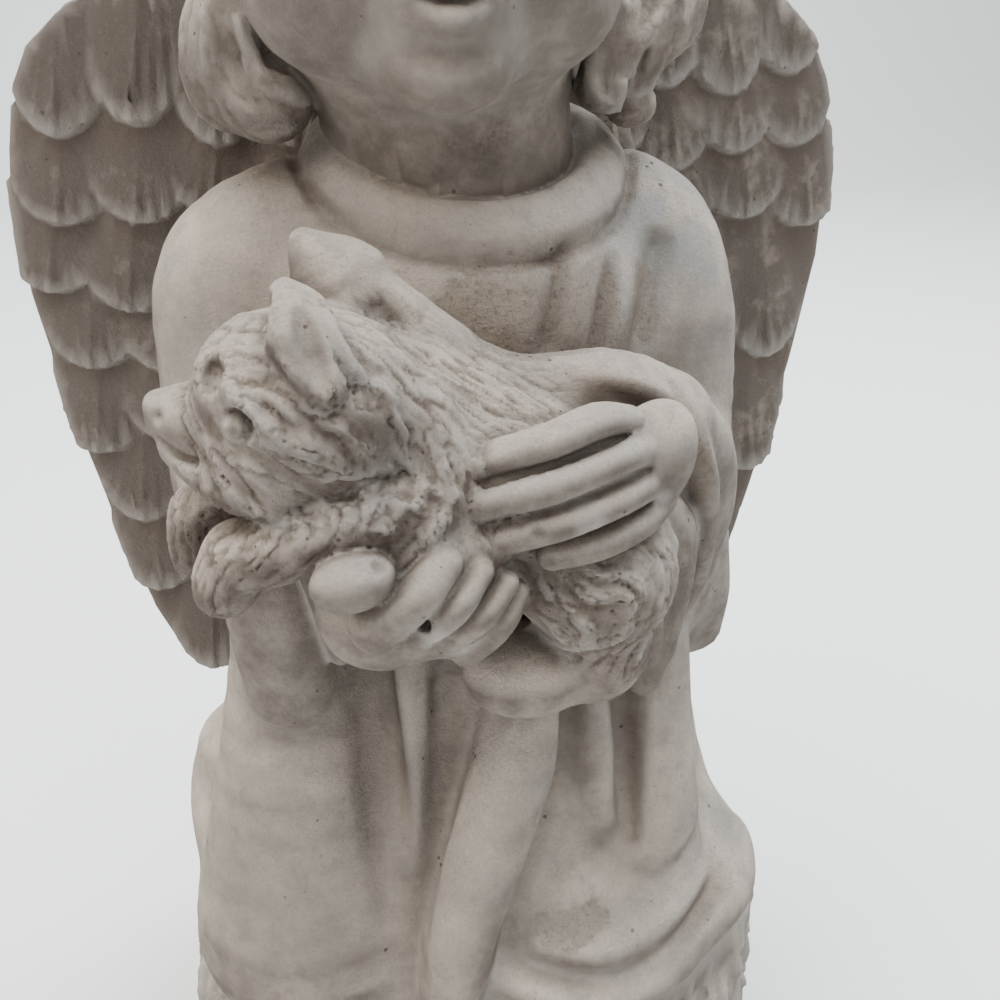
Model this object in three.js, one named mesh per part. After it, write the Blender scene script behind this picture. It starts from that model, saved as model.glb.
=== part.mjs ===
// Cherub garden statue: an angel child holding a small furry puppy, cast in one piece.
// Millimetres, +Z up, the figure faces -Y, the underside lies on z = 0.
// The whole form is one distance field (negative inside), built by joining and cutting
// rounded shapes, then turned into one closed triangle mesh.
import * as THREE from 'three';

// ---- driving dimensions -------------------------------------------------
const GRID_STEP = 2.9; // spacing of the sculpting grid
const TRIANGLE_LIMIT = 9700; // size of the finished mesh
const REACH = 9; // how far around a shape the grid is worked
const BASE_HALF_WIDTH = 92;
const BASE_HALF_DEPTH = 83;
const BASE_TOP = 70; // height of the rocky foot under the hem
const HEAD = { x: -9, y: -8, z: 346 }; // centre of the skull
const WING_TOP = 324;
const WING_TIP = 116;
const WING_THICKNESS = 11;
const COLLAR_RADIUS = 35.5;
const COLLAR_THICKNESS = 5.2;

// ---- field --------------------------------------------------------------
const LOW = new THREE.Vector3(-130, -118, -GRID_STEP / 2 - GRID_STEP);
const HIGH = new THREE.Vector3(130, 92, 404);
const NX = Math.ceil((HIGH.x - LOW.x) / GRID_STEP) + 1;
const NY = Math.ceil((HIGH.y - LOW.y) / GRID_STEP) + 1;
const NZ = Math.ceil((HIGH.z - LOW.z) / GRID_STEP) + 1;
const field = new Float32Array(NX * NY * NZ).fill(REACH);

const softMin = (a, b, k) => {
  const h = Math.max(k - Math.abs(a - b), 0) / k;
  return Math.min(a, b) - h * h * k * 0.25;
};

function work(shape, rule) {
  const [x0, y0, z0, x1, y1, z1] = shape.box;
  const lo = (v, o, n) => Math.max(0, Math.min(n - 1, Math.floor((v - REACH - o) / GRID_STEP)));
  const hi = (v, o, n) => Math.max(0, Math.min(n - 1, Math.ceil((v + REACH - o) / GRID_STEP)));
  const [i0, i1] = [lo(x0, LOW.x, NX), hi(x1, LOW.x, NX)];
  const [j0, j1] = [lo(y0, LOW.y, NY), hi(y1, LOW.y, NY)];
  const [k0, k1] = [lo(z0, LOW.z, NZ), hi(z1, LOW.z, NZ)];
  for (let k = k0; k <= k1; k++) {
    for (let j = j0; j <= j1; j++) {
      for (let i = i0; i <= i1; i++) {
        const at = (k * NY + j) * NX + i;
        const [x, y, z] = [LOW.x + i * GRID_STEP, LOW.y + j * GRID_STEP, LOW.z + k * GRID_STEP];
        field[at] = rule(field[at], shape.distance(x, y, z));
      }
    }
  }
}
const join = (shape, k = 3) => work(shape, (old, d) => softMin(old, d, k));
const cut = (shape, k = 2) => work(shape, (old, d) => -softMin(-old, d, k));

// ---- shapes -------------------------------------------------------------
// An egg with radii rx, ry, rz, turned by degrees about its own x, y and z axes.
function egg(c, r, turn = [0, 0, 0], relief = null) {
  const [ax, ay, az] = turn.map((v) => THREE.MathUtils.degToRad(v));
  const m = new THREE.Matrix4().makeRotationFromEuler(new THREE.Euler(ax, ay, az)).elements;
  const big = Math.max(...r);
  return {
    box: [c[0] - big, c[1] - big, c[2] - big, c[0] + big, c[1] + big, c[2] + big],
    distance: (x, y, z) => {
      const [u, v, w] = [x - c[0], y - c[1], z - c[2]];
      const a = (m[0] * u + m[1] * v + m[2] * w) / r[0];
      const b = (m[4] * u + m[5] * v + m[6] * w) / r[1];
      const d = (m[8] * u + m[9] * v + m[10] * w) / r[2];
      const k0 = Math.hypot(a, b, d);
      const k1 = Math.hypot(a / r[0], b / r[1], d / r[2]);
      const out = k1 > 1e-9 ? (k0 * (k0 - 1)) / k1 : -Math.min(...r);
      return relief ? out - relief(x, y, z) : out;
    },
  };
}

// A tapering strand through points [x, y, z, radius].
function strand(points, pieces = 4, relief = null) {
  const curve = new THREE.CatmullRomCurve3(points.map((p) => new THREE.Vector3(p[0], p[1], p[2])));
  const count = (points.length - 1) * pieces;
  const knots = [];
  for (let i = 0; i <= count; i++) {
    const t = (i / count) * (points.length - 1);
    const low = Math.min(Math.floor(t), points.length - 2);
    const p = curve.getPoint(i / count);
    knots.push([p.x, p.y, p.z, THREE.MathUtils.lerp(points[low][3], points[low + 1][3], t - low)]);
  }
  const edge = (axis, sign) => Math.max(...knots.map((p) => sign * p[axis] + p[3])) * sign;
  return {
    box: [edge(0, -1), edge(1, -1), edge(2, -1), edge(0, 1), edge(1, 1), edge(2, 1)],
    distance: (x, y, z) => {
      let best = 1e9;
      for (let i = 0; i < count; i++) {
        const [p, q] = [knots[i], knots[i + 1]];
        const [ux, uy, uz] = [q[0] - p[0], q[1] - p[1], q[2] - p[2]];
        const [vx, vy, vz] = [x - p[0], y - p[1], z - p[2]];
        const t = Math.min(1, Math.max(0, (ux * vx + uy * vy + uz * vz) / (ux * ux + uy * uy + uz * uz)));
        const d = Math.hypot(vx - t * ux, vy - t * uy, vz - t * uz) - p[3] - t * (q[3] - p[3]);
        best = Math.min(best, d);
      }
      return relief ? best - relief(x, y, z) : best;
    },
  };
}

// ---- foot: rough rock that rises behind the robe -------------------------
const rockLumps = (x, y, z) => {
  const a = Math.atan2(y, x);
  return 1.5 * Math.sin(5 * a + z * 0.08) + 1.2 * Math.sin(9 * a - z * 0.12) + 0.9 * Math.sin(z * 0.25 + 3 * a);
};
function buildFoot() {
  join({
    box: [-96, -92, -5, 100, 82, BASE_TOP + 8],
    distance: (x, y, z) => {
      const taper = 1 - 0.045 * (z / BASE_TOP);
      const ring = Math.hypot((x - 2) / BASE_HALF_WIDTH, (y + 5) / BASE_HALF_DEPTH);
      const side = (ring - taper) * BASE_HALF_DEPTH - rockLumps(x, y, z) * 0.8;
      return -softMin(-side, BASE_TOP - z, 14);
    },
  }, 2);
  join(egg([-60, 26, 66], [30, 32, 41], [0, -6, 0], rockLumps), 6);
  join(egg([58, 26, 58], [29, 32, 38], [0, 8, 0], rockLumps), 6);
  join(egg([0, 44, 62], [44, 26, 38], [0, 0, 0], rockLumps), 6);
}

// ---- robe ---------------------------------------------------------------
// Stations up the robe: height, half width, reach to the front, reach to the back.
const ROBE = [
  [58, 82, 80, 56], [70, 85, 83, 58], [84, 79, 78, 55], [104, 73, 70, 51], [130, 68, 62, 47],
  [160, 65, 57, 44], [190, 63, 54, 42], [220, 60, 51, 40], [245, 53, 46, 37], [266, 40, 38, 33],
];
function robeAt(z) {
  let i = 0;
  while (i < ROBE.length - 2 && z > ROBE[i + 1][0]) i += 1;
  const [a, b] = [ROBE[i], ROBE[i + 1]];
  const t = THREE.MathUtils.clamp((z - a[0]) / (b[0] - a[0]), 0, 1);
  return [1, 2, 3].map((n) => THREE.MathUtils.lerp(a[n], b[n], t));
}
function robeDistance(x, y, z) {
  const [wide, front, back] = robeAt(z);
  const deep = y < 0 ? front : back;
  const ring = Math.hypot(x / wide, y / deep);
  return (ring - 1) * Math.min(wide, deep);
}
// Surface point at the front or back of the robe, moved out by "proud".
function onRobe(x, z, proud, radius, side = -1) {
  const [wide, front, back] = robeAt(z);
  const deep = side < 0 ? front : back;
  const y = side * deep * Math.sqrt(Math.max(0.05, 1 - (x / wide) ** 2));
  return [x, y + side * proud, z, radius];
}
function buildRobe() {
  const top = ROBE[ROBE.length - 1][0];
  const bottom = ROBE[0][0];
  join({
    box: [-86, -84, bottom, 86, 60, top],
    distance: (x, y, z) => {
      const side = robeDistance(x, y, z);
      const cap = Math.max(z - top, bottom - z);
      return -softMin(-side, -cap, 6);
    },
  }, 2);
  // broad column of cloth over the viewer-left leg
  join(strand([[-49, -38, 176, 14], [-50, -44, 140, 20], [-50, -46, 108, 27], [-49, -45, 86, 33]]), 8);
  // folds between the two legs
  join(strand([onRobe(-21, 168, -2, 8), onRobe(-22.5, 142, -1, 7), onRobe(-25, 114, -1, 4.5)]), 4);
  join(strand([onRobe(7, 164, 0, 10), onRobe(3, 142, 3, 11), onRobe(-6, 119, 5, 11),
    onRobe(-13, 97, 4, 9.5), onRobe(-16, 84, 2, 8)]), 4);
  join(strand([onRobe(23, 158, -1, 7), onRobe(25, 140, 0, 6.5), onRobe(26, 118, -2, 6)]), 5);
  join(strand([onRobe(42, 162, -2, 12), onRobe(42, 134, -1, 13), onRobe(42, 106, -3, 15)]), 5);
  // cloth gathered over the viewer-right foot
  join(egg([38, -42, 84], [43, 36, 21], [0, 6, 12]), 8);
  join(strand([[-2, -78, 84, 5], [18, -80, 74, 8], [44, -70, 76, 9], [70, -44, 88, 7]]), 5);
  join(strand([[8, -76, 92, 4], [26, -76, 88, 6], [48, -62, 93, 6], [68, -40, 101, 4]]), 4);
  // grooves
  cut(strand([onRobe(-31, 172, 3, 5), onRobe(-30, 138, 6, 6), onRobe(-29, 108, 9, 5),
    onRobe(-27, 86, 9, 3)]), 3.5);
  cut(strand([onRobe(-13, 162, 3, 4), onRobe(-14.5, 140, 4, 3.6), onRobe(-18, 118, 5, 3),
    onRobe(-22, 100, 6, 2)]), 2.5);
  cut(strand([onRobe(16, 158, 4, 4.5), onRobe(13.5, 140, 4, 5), onRobe(8, 120, 6, 5.5),
    onRobe(1, 100, 8, 5), onRobe(-3, 84, 10, 3.5)]), 3);
  cut(strand([onRobe(32, 162, 4, 4), onRobe(33, 142, 4, 4), onRobe(33, 122, 4, 2.5)]), 3.5);
  cut(strand([[6, -80, 100, 3], [24, -78, 100, 3.4], [42, -74, 102, 2.5], [58, -58, 110, 1.5]]), 3);
  cut(strand([[14, -88, 80, 1.6], [36, -83, 83, 2.4], [62, -64, 94, 2]]), 4);
  cut(strand([[-44, -84, 128, 1], [-42, -88, 108, 2], [-40, -88, 92, 1]]), 8);
  // long plain folds down the back
  for (const [x, lean] of [[-44, -8], [-16, -3], [14, 4], [42, 9]]) {
    join(strand([onRobe(x * 0.8, 190, 0, 5, 1), onRobe(x, 145, 1, 8, 1), onRobe(x + lean, 112, 0, 8, 1)]), 7);
  }
}

// ---- shoulders, chest, collar, neck --------------------------------------
const CHEST = [0, -8, 240];
function buildChest() {
  join(egg(CHEST, [56, 39, 36]), 10);
  join(egg([0, 10, 262], [42, 29, 25]), 8);
  // soft pleats on the chest
  cut(strand([[46, -38, 256, 0.6], [42, -44, 246, 2], [40, -49, 236, 2]]), 6);
  cut(strand([[33, -43, 254, 0.6], [31, -49, 244, 1.6], [29, -51, 236, 1.6]]), 6);
  cut(strand([[9, -49, 252, 0.6], [7, -51, 244, 1.4], [6, -51, 238, 1]]), 5);
}
function buildCollarAndNeck() {
  const ring = [];
  for (let i = 0; i <= 36; i++) {
    const a = (i / 36) * Math.PI * 2;
    const y = Math.sin(a) * COLLAR_RADIUS;
    ring.push([1.5 + Math.cos(a) * COLLAR_RADIUS, y - 1, 278 + (y < 0 ? 0.42 : 0.2) * y, COLLAR_THICKNESS]);
  }
  const inner = ring.map(([x, y, z, r]) => [(x - 1.5) * 0.93 + 1, y * 0.93, z + 5, r * 0.85]);
  join(strand(ring, 1), 1);
  join(strand(inner, 1), 4);
  join(strand([[0, -1, 262, 31], [-2, -2, 280, 30], [-6, -5, 306, 30.5]], 3), 0.8);
}

// ---- sleeves -------------------------------------------------------------
function buildSleeves() {
  // viewer-left arm: shoulder, elbow, forearm across the belly, hanging cuff
  join(strand([[-32, 1, 258, 24], [-50, -2, 248, 26], [-52, -8, 230, 25.5], [-53, -22, 208, 23],
    [-47, -46, 200, 19]]), 6);
  join(strand([[-50, -56, 200, 14], [-51, -58, 182, 11.5], [-50, -57, 166, 10.5]]), 4);
  join(strand([[-42, -74, 207, 4.5], [-38, -70, 190, 4], [-36, -64, 174, 4.5]]), 3);
  cut(strand([[-46, -76, 196, 2], [-44, -74, 182, 2.5], [-43, -72, 170, 1.5]]), 3);
  join(strand([[-50, -36, 190, 14], [-49, -44, 172, 11], [-48, -50, 158, 8]]), 8);
  // viewer-right arm: the wide sleeve falls from the elbow to a blunt edge
  join(strand([[28, 2, 260, 23], [43, -1, 253, 25.5], [48, -6, 236, 25], [51, -14, 212, 20.5],
    [49, -26, 198, 17]]), 6);
  join(strand([[37, -54, 224, 13], [44, -44, 213, 16], [50, -30, 202, 17.5]]), 6);
  join(strand([[57.5, -20, 198, 11.5], [59.5, -22, 178, 11], [62, -20, 162, 11.5],
    [62, -18, 153, 11]]), 5);
  join(strand([[52, -32, 190, 14], [52, -30, 166, 11], [54, -24, 152, 9]]), 6);
  // rolled edge of the cuff round the wrist, with a deep groove inside it
  join(strand([[12, -62, 237, 6.5], [26, -61, 235, 9], [37, -56, 226, 12]]), 3);
  join(strand([[13, -65, 240.5, 2.6], [25, -67.5, 239.5, 3.2], [34, -66.5, 234, 3.6],
    [41, -65, 225, 3.8], [46, -62.5, 215, 3.8], [49, -58, 202, 3.8],
    [51, -52, 187, 3.8], [52, -44, 172, 3.8]]), 2);
  cut(strand([[20, -71, 238, 1], [30, -70, 233.5, 1.6], [35.5, -71, 228, 1.8],
    [39, -70.5, 219, 1.8], [42, -67, 207, 1.6]]), 1.5);
  cut(strand([[36, -54, 243, 1.5], [54, -42, 237, 3], [76, -20, 234, 2.4]]), 4);
}

// ---- head ---------------------------------------------------------------
const atHead = (x, y, z) => [HEAD.x + x, HEAD.y + y, HEAD.z + z];
const knot = (x, y, z, r) => [HEAD.x + x, HEAD.y + y, HEAD.z + z, r];
function buildHead() {
  join(egg(atHead(0, 4, 4), [43, 47, 43]), 4);
  join(egg(atHead(0, -12, -24), [40.5, 33, 31]), 10);
  for (const s of [-1, 1]) {
    join(egg(atHead(22 * s, -27, -31), [16, 14, 15]), 9);
    join(strand([knot(28 * s, -34, 9, 3), knot(15 * s, -43, 12, 3.4), knot(6 * s, -44, 9, 2.5)]), 7);
    cut(egg(atHead(16 * s, -46, -1), [9, 6, 6.5]), 5);
    join(egg(atHead(16 * s, -35.5, -2), [8.2, 7, 6.4]), 1.5);
    join(strand([knot(24 * s, -37, -2, 1.3), knot(16 * s, -42, 3.6, 1.7), knot(8 * s, -42, -1, 1.3)]), 2);
    join(strand([knot(23 * s, -38, -4, 1.2), knot(16 * s, -41, -7.4, 1.3), knot(9 * s, -42, -4, 1.2)]), 2);
    join(egg(atHead(4.6 * s, -50, -21), [3.6, 4.2, 3.2]), 3);
  }
  join(egg(atHead(0, -38, -46), [13, 11, 8.5]), 9); // chin
  join(strand([knot(0, -42, 6, 3), knot(0, -47, -8, 3.6), knot(0, -51.5, -18, 5)]), 5); // nose
  // slightly open mouth with a full lower lip
  join(egg(atHead(0, -43, -34), [11.5, 8, 8]), 6);
  cut(egg(atHead(0, -52, -33.4), [7, 5, 2.2]), 2);
  join(strand([knot(-9, -45.5, -32.5, 1.2), knot(-3, -50.3, -29.6, 2), knot(3, -50.3, -29.6, 2),
    knot(9, -45.5, -32.5, 1.2)]), 2);
  join(strand([knot(-7, -46, -35.5, 1.4), knot(0, -49.6, -38.2, 3), knot(7, -46, -35.5, 1.4)]), 2.5);
  cut(strand([knot(-7, -49, -43, 1.5), knot(0, -51, -44, 2), knot(7, -49, -43, 1.5)]), 4);
}

// ---- hair: a cap of rolled curls ----------------------------------------
// One curl is a short rolled strand whose end turns into the middle.
function curl(c, size, face, spin) {
  const out = new THREE.Vector3(...face).normalize();
  const side = new THREE.Vector3(0, 0, 1).cross(out).normalize();
  const up = out.clone().cross(side);
  const points = [];
  for (let i = 0; i <= 6; i++) {
    const a = THREE.MathUtils.degToRad(spin + i * 62);
    const r = size * (0.78 - i * 0.085);
    const p = new THREE.Vector3(...c).addScaledVector(side, r * Math.cos(a));
    p.addScaledVector(up, r * Math.sin(a)).addScaledVector(out, i * size * 0.05);
    points.push([p.x, p.y, p.z, size * (0.42 - i * 0.025)]);
  }
  return strand(points, 2);
}
function buildHair() {
  join(egg(atHead(0, 9, 7), [46, 46, 41]), 3);
  join(egg(atHead(0, 24, -16), [40, 28, 34]), 6);
  const rows = [[-38, 9, 112, 248], [-20, 11, 72, 288], [0, 12, 52, 308],
    [21, 12, 34, 326], [43, 11, 20, 340], [66, 6, 0, 300]];
  for (const [rise, count, from, to] of rows) {
    for (let i = 0; i < count; i++) {
      const turn = from + ((to - from) * i) / (count - 1);
      const a = THREE.MathUtils.degToRad(turn - 90);
      const e = THREE.MathUtils.degToRad(rise);
      const d = [Math.cos(a) * Math.cos(e), Math.sin(a) * Math.cos(e), Math.sin(e)];
      const size = 10.5 + 1.5 * Math.sin(i * 2.3 + rise);
      join(curl(atHead(d[0] * 44, 7 + d[1] * 45, 5 + d[2] * 40), size, d, i * 77 + rise * 5), 2);
    }
  }
  join(curl(atHead(0, 6, 46), 12, [0, 0, 1.0001], 20), 2);
  // large rolled curl beside the viewer-left cheek
  join(egg([-51, -6, 304], [13, 14, 19], [0, 14, 0]), 3);
  join(egg([-46, -12, 293], [11, 11, 9.5], [0, 20, 0]), 3);
  cut(strand([[-53, -21, 304, 1.2], [-50.5, -23, 297, 1.8], [-48.5, -23, 290, 1.2]]), 1.5);
  // smaller curls beside the viewer-right cheek
  join(strand([[33, -14, 318, 7], [35, -17, 306, 7], [31, -17, 295, 5.5]]), 3);
  join(strand([[43, -8, 322, 8], [46, -12, 309, 7.5], [40, -15, 299, 5.5]]), 3);
  join(egg([41, -10, 291], [6.5, 6.5, 5.5]), 2);
  join(strand([[54, -2, 322, 8], [53, -6, 310, 6.5], [47, -8, 303, 4.5]]), 3);
}

// ---- wings --------------------------------------------------------------
const wingBackset = (reach) => 31 + 0.1 * (reach - 30);
// Outer and inner edge of the wing, as reach from the middle plane at a height.
const WING_EDGE = [
  [116, 84, 74], [124, 91, 66], [140, 98, 56], [175, 107, 42], [208, 114, 32], [241, 119, 24],
  [271, 119, 18], [289, 115, 16], [304, 107, 18], [314, 95, 24], [324, 66, 44],
];
function wingAt(z) {
  let i = 0;
  while (i < WING_EDGE.length - 2 && z > WING_EDGE[i + 1][0]) i += 1;
  const [a, b] = [WING_EDGE[i], WING_EDGE[i + 1]];
  const t = THREE.MathUtils.clamp((z - a[0]) / (b[0] - a[0]), 0, 1);
  return [THREE.MathUtils.lerp(a[1], b[1], t), THREE.MathUtils.lerp(a[2], b[2], t)];
}
// Distance in the plane of the wing from its outline, drawn in by the rounding.
function wingOutline(x, z, side, lift, spread) {
  const reach = (x * side) / spread;
  const [outer, inner] = wingAt(z - lift);
  const across = Math.max((reach - outer) * 0.9 + 4, inner - reach);
  return [across, Math.max(z - lift - WING_TOP + 4, WING_TIP + 4 - z + lift)];
}
// A shingle: the root is tucked in and the rounded tip stands proud.
function feather({ side, lift, spread }, reach, tip, long, wide, lean, face, over) {
  const sin = side * Math.sin(lean);
  const cos = Math.cos(lean);
  const x0 = side * reach * spread - sin * long;
  const z0 = tip + cos * long;
  const middle = x0 + (sin * long) / 2;
  const half = wide + long * 0.35;
  join({
    box: [middle - half, 20, tip - 3, middle + half, 60, z0 + 1],
    distance: (x, y, z) => {
      const along = (x - x0) * sin - (z - z0) * cos;
      const u = ((x - x0) * cos + (z - z0) * sin) / wide;
      const end = Math.max((along / long - 0.55) / 0.45, 0);
      const outline = (Math.hypot(u, end) - 1) * wide;
      const height = 0.5 + 3.1 * THREE.MathUtils.clamp(along / long, 0, 1) + 0.6 * over - 2.2 * u * u;
      const out = face * (y - wingBackset((x * side) / spread)) - WING_THICKNESS / 2;
      const flat = Math.max(outline, -along, Math.max(...wingOutline(x, z, side, lift, spread)) - 4.6);
      return Math.max(flat * 0.8, out - height, -out - 4);
    },
  }, 0.5);
}
// Rows of feathers from the bottom up: height of the tips, length, half width.
const LEFT_ROWS = [
  [119, 50, 14], [146, 44, 14], [173, 36, 13], [197, 30, 13],
  [219, 29, 13], [240, 28, 13], [262, 28, 13], [284, 48, 13],
];
const RIGHT_ROWS = [[119, 60, 15], [172, 50, 14], [214, 46, 14], [256, 29, 13], [276, 27, 12], [295, 38, 12]];
function buildWing(wing, rows) {
  const { side, lift, spread } = wing;
  join({
    box: [side < 0 ? -122 : 8, 16, WING_TIP - 4, side < 0 ? -8 : 122, 60, WING_TOP + 4],
    distance: (x, y, z) => {
      const [across, updown] = wingOutline(x, z, side, lift, spread);
      const flat = Math.abs(y - wingBackset((x * side) / spread)) - WING_THICKNESS / 2 + 3;
      const [a, b, c] = [Math.max(across, 0), Math.max(updown, 0), Math.max(flat, 0)];
      return Math.hypot(a, b, c) + Math.min(Math.max(across, updown, flat), 0) - 3.5;
    },
  }, 4);
  rows.forEach(([tip, long, wide], row) => {
    const [outer, inner] = wingAt(tip + long * 0.25 - lift);
    const first = outer - wide * (row % 2 ? 0.55 : 0.95);
    const count = Math.trunc((first - Math.max(inner, 30)) / (wide * 1.6)) + 1;
    for (let i = 0; i <= count; i++) {
      const drop = 2.5 * Math.sin(i * 2.2 + row * 1.7) - i * 1.2;
      for (const face of [-1, 1]) {
        feather(wing, first - i * wide * 1.6, tip + drop, long, wide, 0.1 + 0.012 * row, face, i % 2);
      }
    }
  });
}

// ---- hands --------------------------------------------------------------
function buildHands() {
  // lower hand, fingers curled up round the puppy
  join(egg([-27, -83, 200], [16, 13, 13.5], [0, -20, 0]), 3);
  join(egg([-14, -82, 199], [14, 12, 12.5]), 3);
  join(egg([-16, -89, 204], [11, 8, 10], [0, 35, 0]), 2);
  join(egg([-35, -98.5, 214], [8.2, 6, 5.8], [0, -12, 0]), 0.8);
  join(strand([[-18, -97, 215.5, 4], [-23, -99, 210, 4.6], [-31, -95, 202, 5.4]]), 0.6);
  join(strand([[-11, -96, 212.5, 3], [-16, -98.5, 206.5, 3.3], [-23, -93, 198.5, 4]]), 0.4);
  join(strand([[-5.5, -94, 208.5, 2.8], [-11, -96, 202.5, 3.1], [-17.5, -90, 195, 4]]), 0.4);
  join(strand([[-2.5, -89, 203.5, 2.9], [-6, -91, 197.5, 3.1], [-12, -86, 190, 4.4]]), 0.4);
  // upper hand, four straight fingers laid across the flank
  join(egg([27, -79, 225.5], [10, 9, 14], [0, 24, 30]), 1.5);
  join(egg([10, -83, 225], [18, 8, 12], [0, -16, 6]), 2);
  join(strand([[-6, -90, 233, 3.9], [3, -92, 236, 4], [13, -89, 238.5, 4], [21, -83, 236, 3.6]]), 0.4);
  join(strand([[-9, -92, 225.3, 4.2], [3, -94.5, 229, 4.3], [16, -90.5, 231.5, 4.3],
    [24, -84, 230.5, 4]]), 0.4);
  join(strand([[-6, -91.5, 217.3, 3.9], [6, -93.5, 221, 4.1], [18, -90, 223.5, 4.2],
    [27, -83, 223.5, 4]]), 0.4);
  join(strand([[5, -89, 211.3, 3.4], [14, -90, 213.5, 3.7], [23, -87, 216, 3.9],
    [30, -80, 217.5, 3.8]]), 0.4);
}

// ---- puppy --------------------------------------------------------------
// Locks of fur swept back from the muzzle.
const tufts = (along, across) =>
  0.75 * Math.sin(across * 1.1 + 0.9 * Math.sin(along * 0.35)) * Math.cos(along * 0.2);
const headFur = (x, y, z) => tufts(x, z + 0.35 * x + 0.4 * y);
const bodyFur = (x, y, z) => tufts(z, x * 0.9 + z * 0.5 + y * 0.4);
function buildPuppy() {
  // body, thigh and the flat lower lobe
  join(strand([[-22, -66, 234, 20], [-2, -66, 221, 20.5], [12, -68, 206, 19]], 4, bodyFur), 6);
  join(egg([19, -73, 198], [18, 18, 18], [0, 20, 0], bodyFur), 4);
  join(egg([5, -71, 173], [16, 13, 10.5], [0, -6, 0]), 4);
  join(egg([21, -73, 179], [11, 12, 14], [0, 20, 0]), 4);
  join(egg([-4, -79, 222], [18, 14, 13]), 4);
  join(egg([-14, -85, 215], [13, 12, 9]), 3);
  join(egg([-13, -84, 227], [9, 9, 12]), 3);
  join(egg([-26, -88, 214], [8, 6, 6]), 3);
  join(strand([[-18, -62, 244, 9], [2, -60, 236, 8], [20, -60, 236, 7]]), 5);
  // head
  join(egg([-39, -78, 242], [21, 20, 18.5], [0, 12, 0], headFur), 4);
  join(egg([-49, -78, 246], [12.5, 14, 13], [0, 0, 0], headFur), 4);
  join(egg([-47, -83, 232], [14, 11, 9.5], [0, 12, 0]), 4);
  join(strand([[-54, -78, 238, 9], [-62, -75, 239, 7.4], [-65.5, -73.5, 239.5, 6]], 3), 3);
  join(egg([-69, -73.5, 242], [2.6, 4, 2.8]), 1);
  join(strand([[-64, -79, 232, 2.6], [-58, -86, 228.5, 3.2], [-50, -91, 226.5, 3.6]]), 3);
  // eyes in round sockets under a heavy brow
  cut(egg([-54.5, -94, 242], [3.6, 5.5, 3.3]), 1.2);
  join(egg([-53.6, -89.6, 242], [2.3, 2.6, 2.2]), 0.3);
  join(strand([[-59, -85, 248, 1.5], [-55, -91, 247, 1.9], [-49, -95, 243.5, 2]]), 2.5);
  cut(egg([-58.5, -87, 252.5], [2.6, 3.5, 3.2], [0, 30, 0]), 1);
  cut(strand([[-50, -96, 237, 1.1], [-42, -100, 233, 1.5], [-33, -99, 232, 1.3]]), 2.5);
  // near ear: a pointed flap lying back against the head, its face smooth
  join(strand([[-44, -84, 262, 3.6], [-40.5, -91, 256, 6.4], [-37, -95, 249, 5]], 4), 1);
  join(strand([[-43.5, -83.5, 265, 2.2], [-38, -85, 261, 3], [-31, -87, 253, 3.4]], 3), 1.2);
  cut(egg([-40, -98.5, 257.5], [3.2, 2.6, 7.5], [-32, 18, 12]), 1.5);
  cut(egg([-47.5, -86, 261], [1.8, 2.6, 4], [-10, 20, 0]), 1);
  // far ear: broad and blunt, its back edge running down to the neck
  join(strand([[-34, -66, 258, 8], [-37.5, -65.5, 266, 5], [-39.5, -65.5, 270, 2.6]], 3), 2);
  join(strand([[-39, -65, 270, 2.4], [-32, -65, 268.5, 2.6], [-27, -65, 266, 2.6]], 3), 1.5);
  join(strand([[-31, -65, 264, 5], [-24, -65, 257, 6], [-14, -64, 246, 8]], 3), 3);
  // ruff, forelegs and paws
  join(strand([[-20, -84, 240, 7], [-17, -88, 230, 7], [-20, -91, 222, 6.5]], 3, bodyFur), 3);
  join(strand([[-18, -88, 227, 6.5], [-29, -91, 224, 6.8], [-39, -90.5, 220.5, 7],
    [-48, -88, 217, 7.2], [-56, -84, 214, 7.4]], 4, bodyFur), 1.2);
  join(egg([-58.5, -84, 209.5], [7, 7, 8.6], [0, 26, 0]), 1.5);
  join(strand([[-54, -70, 224, 6.5], [-64, -70, 218, 6.2], [-66, -70, 209, 5.4]]), 1.5);
  // tail and far hind leg
  join(strand([[30, -68, 212, 7], [38, -63, 202, 7], [40, -60, 188, 7], [38, -60, 170, 6]], 4, bodyFur), 3);
  cut(strand([[37, -76, 203, 0.8], [36, -76, 192, 1.5], [32, -76, 180, 1.5], [29, -74, 170, 1]]), 2);
  join(strand([[33, -60, 182, 7], [36, -60, 168, 6], [36, -60, 160, 5]]), 3);
}

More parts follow.
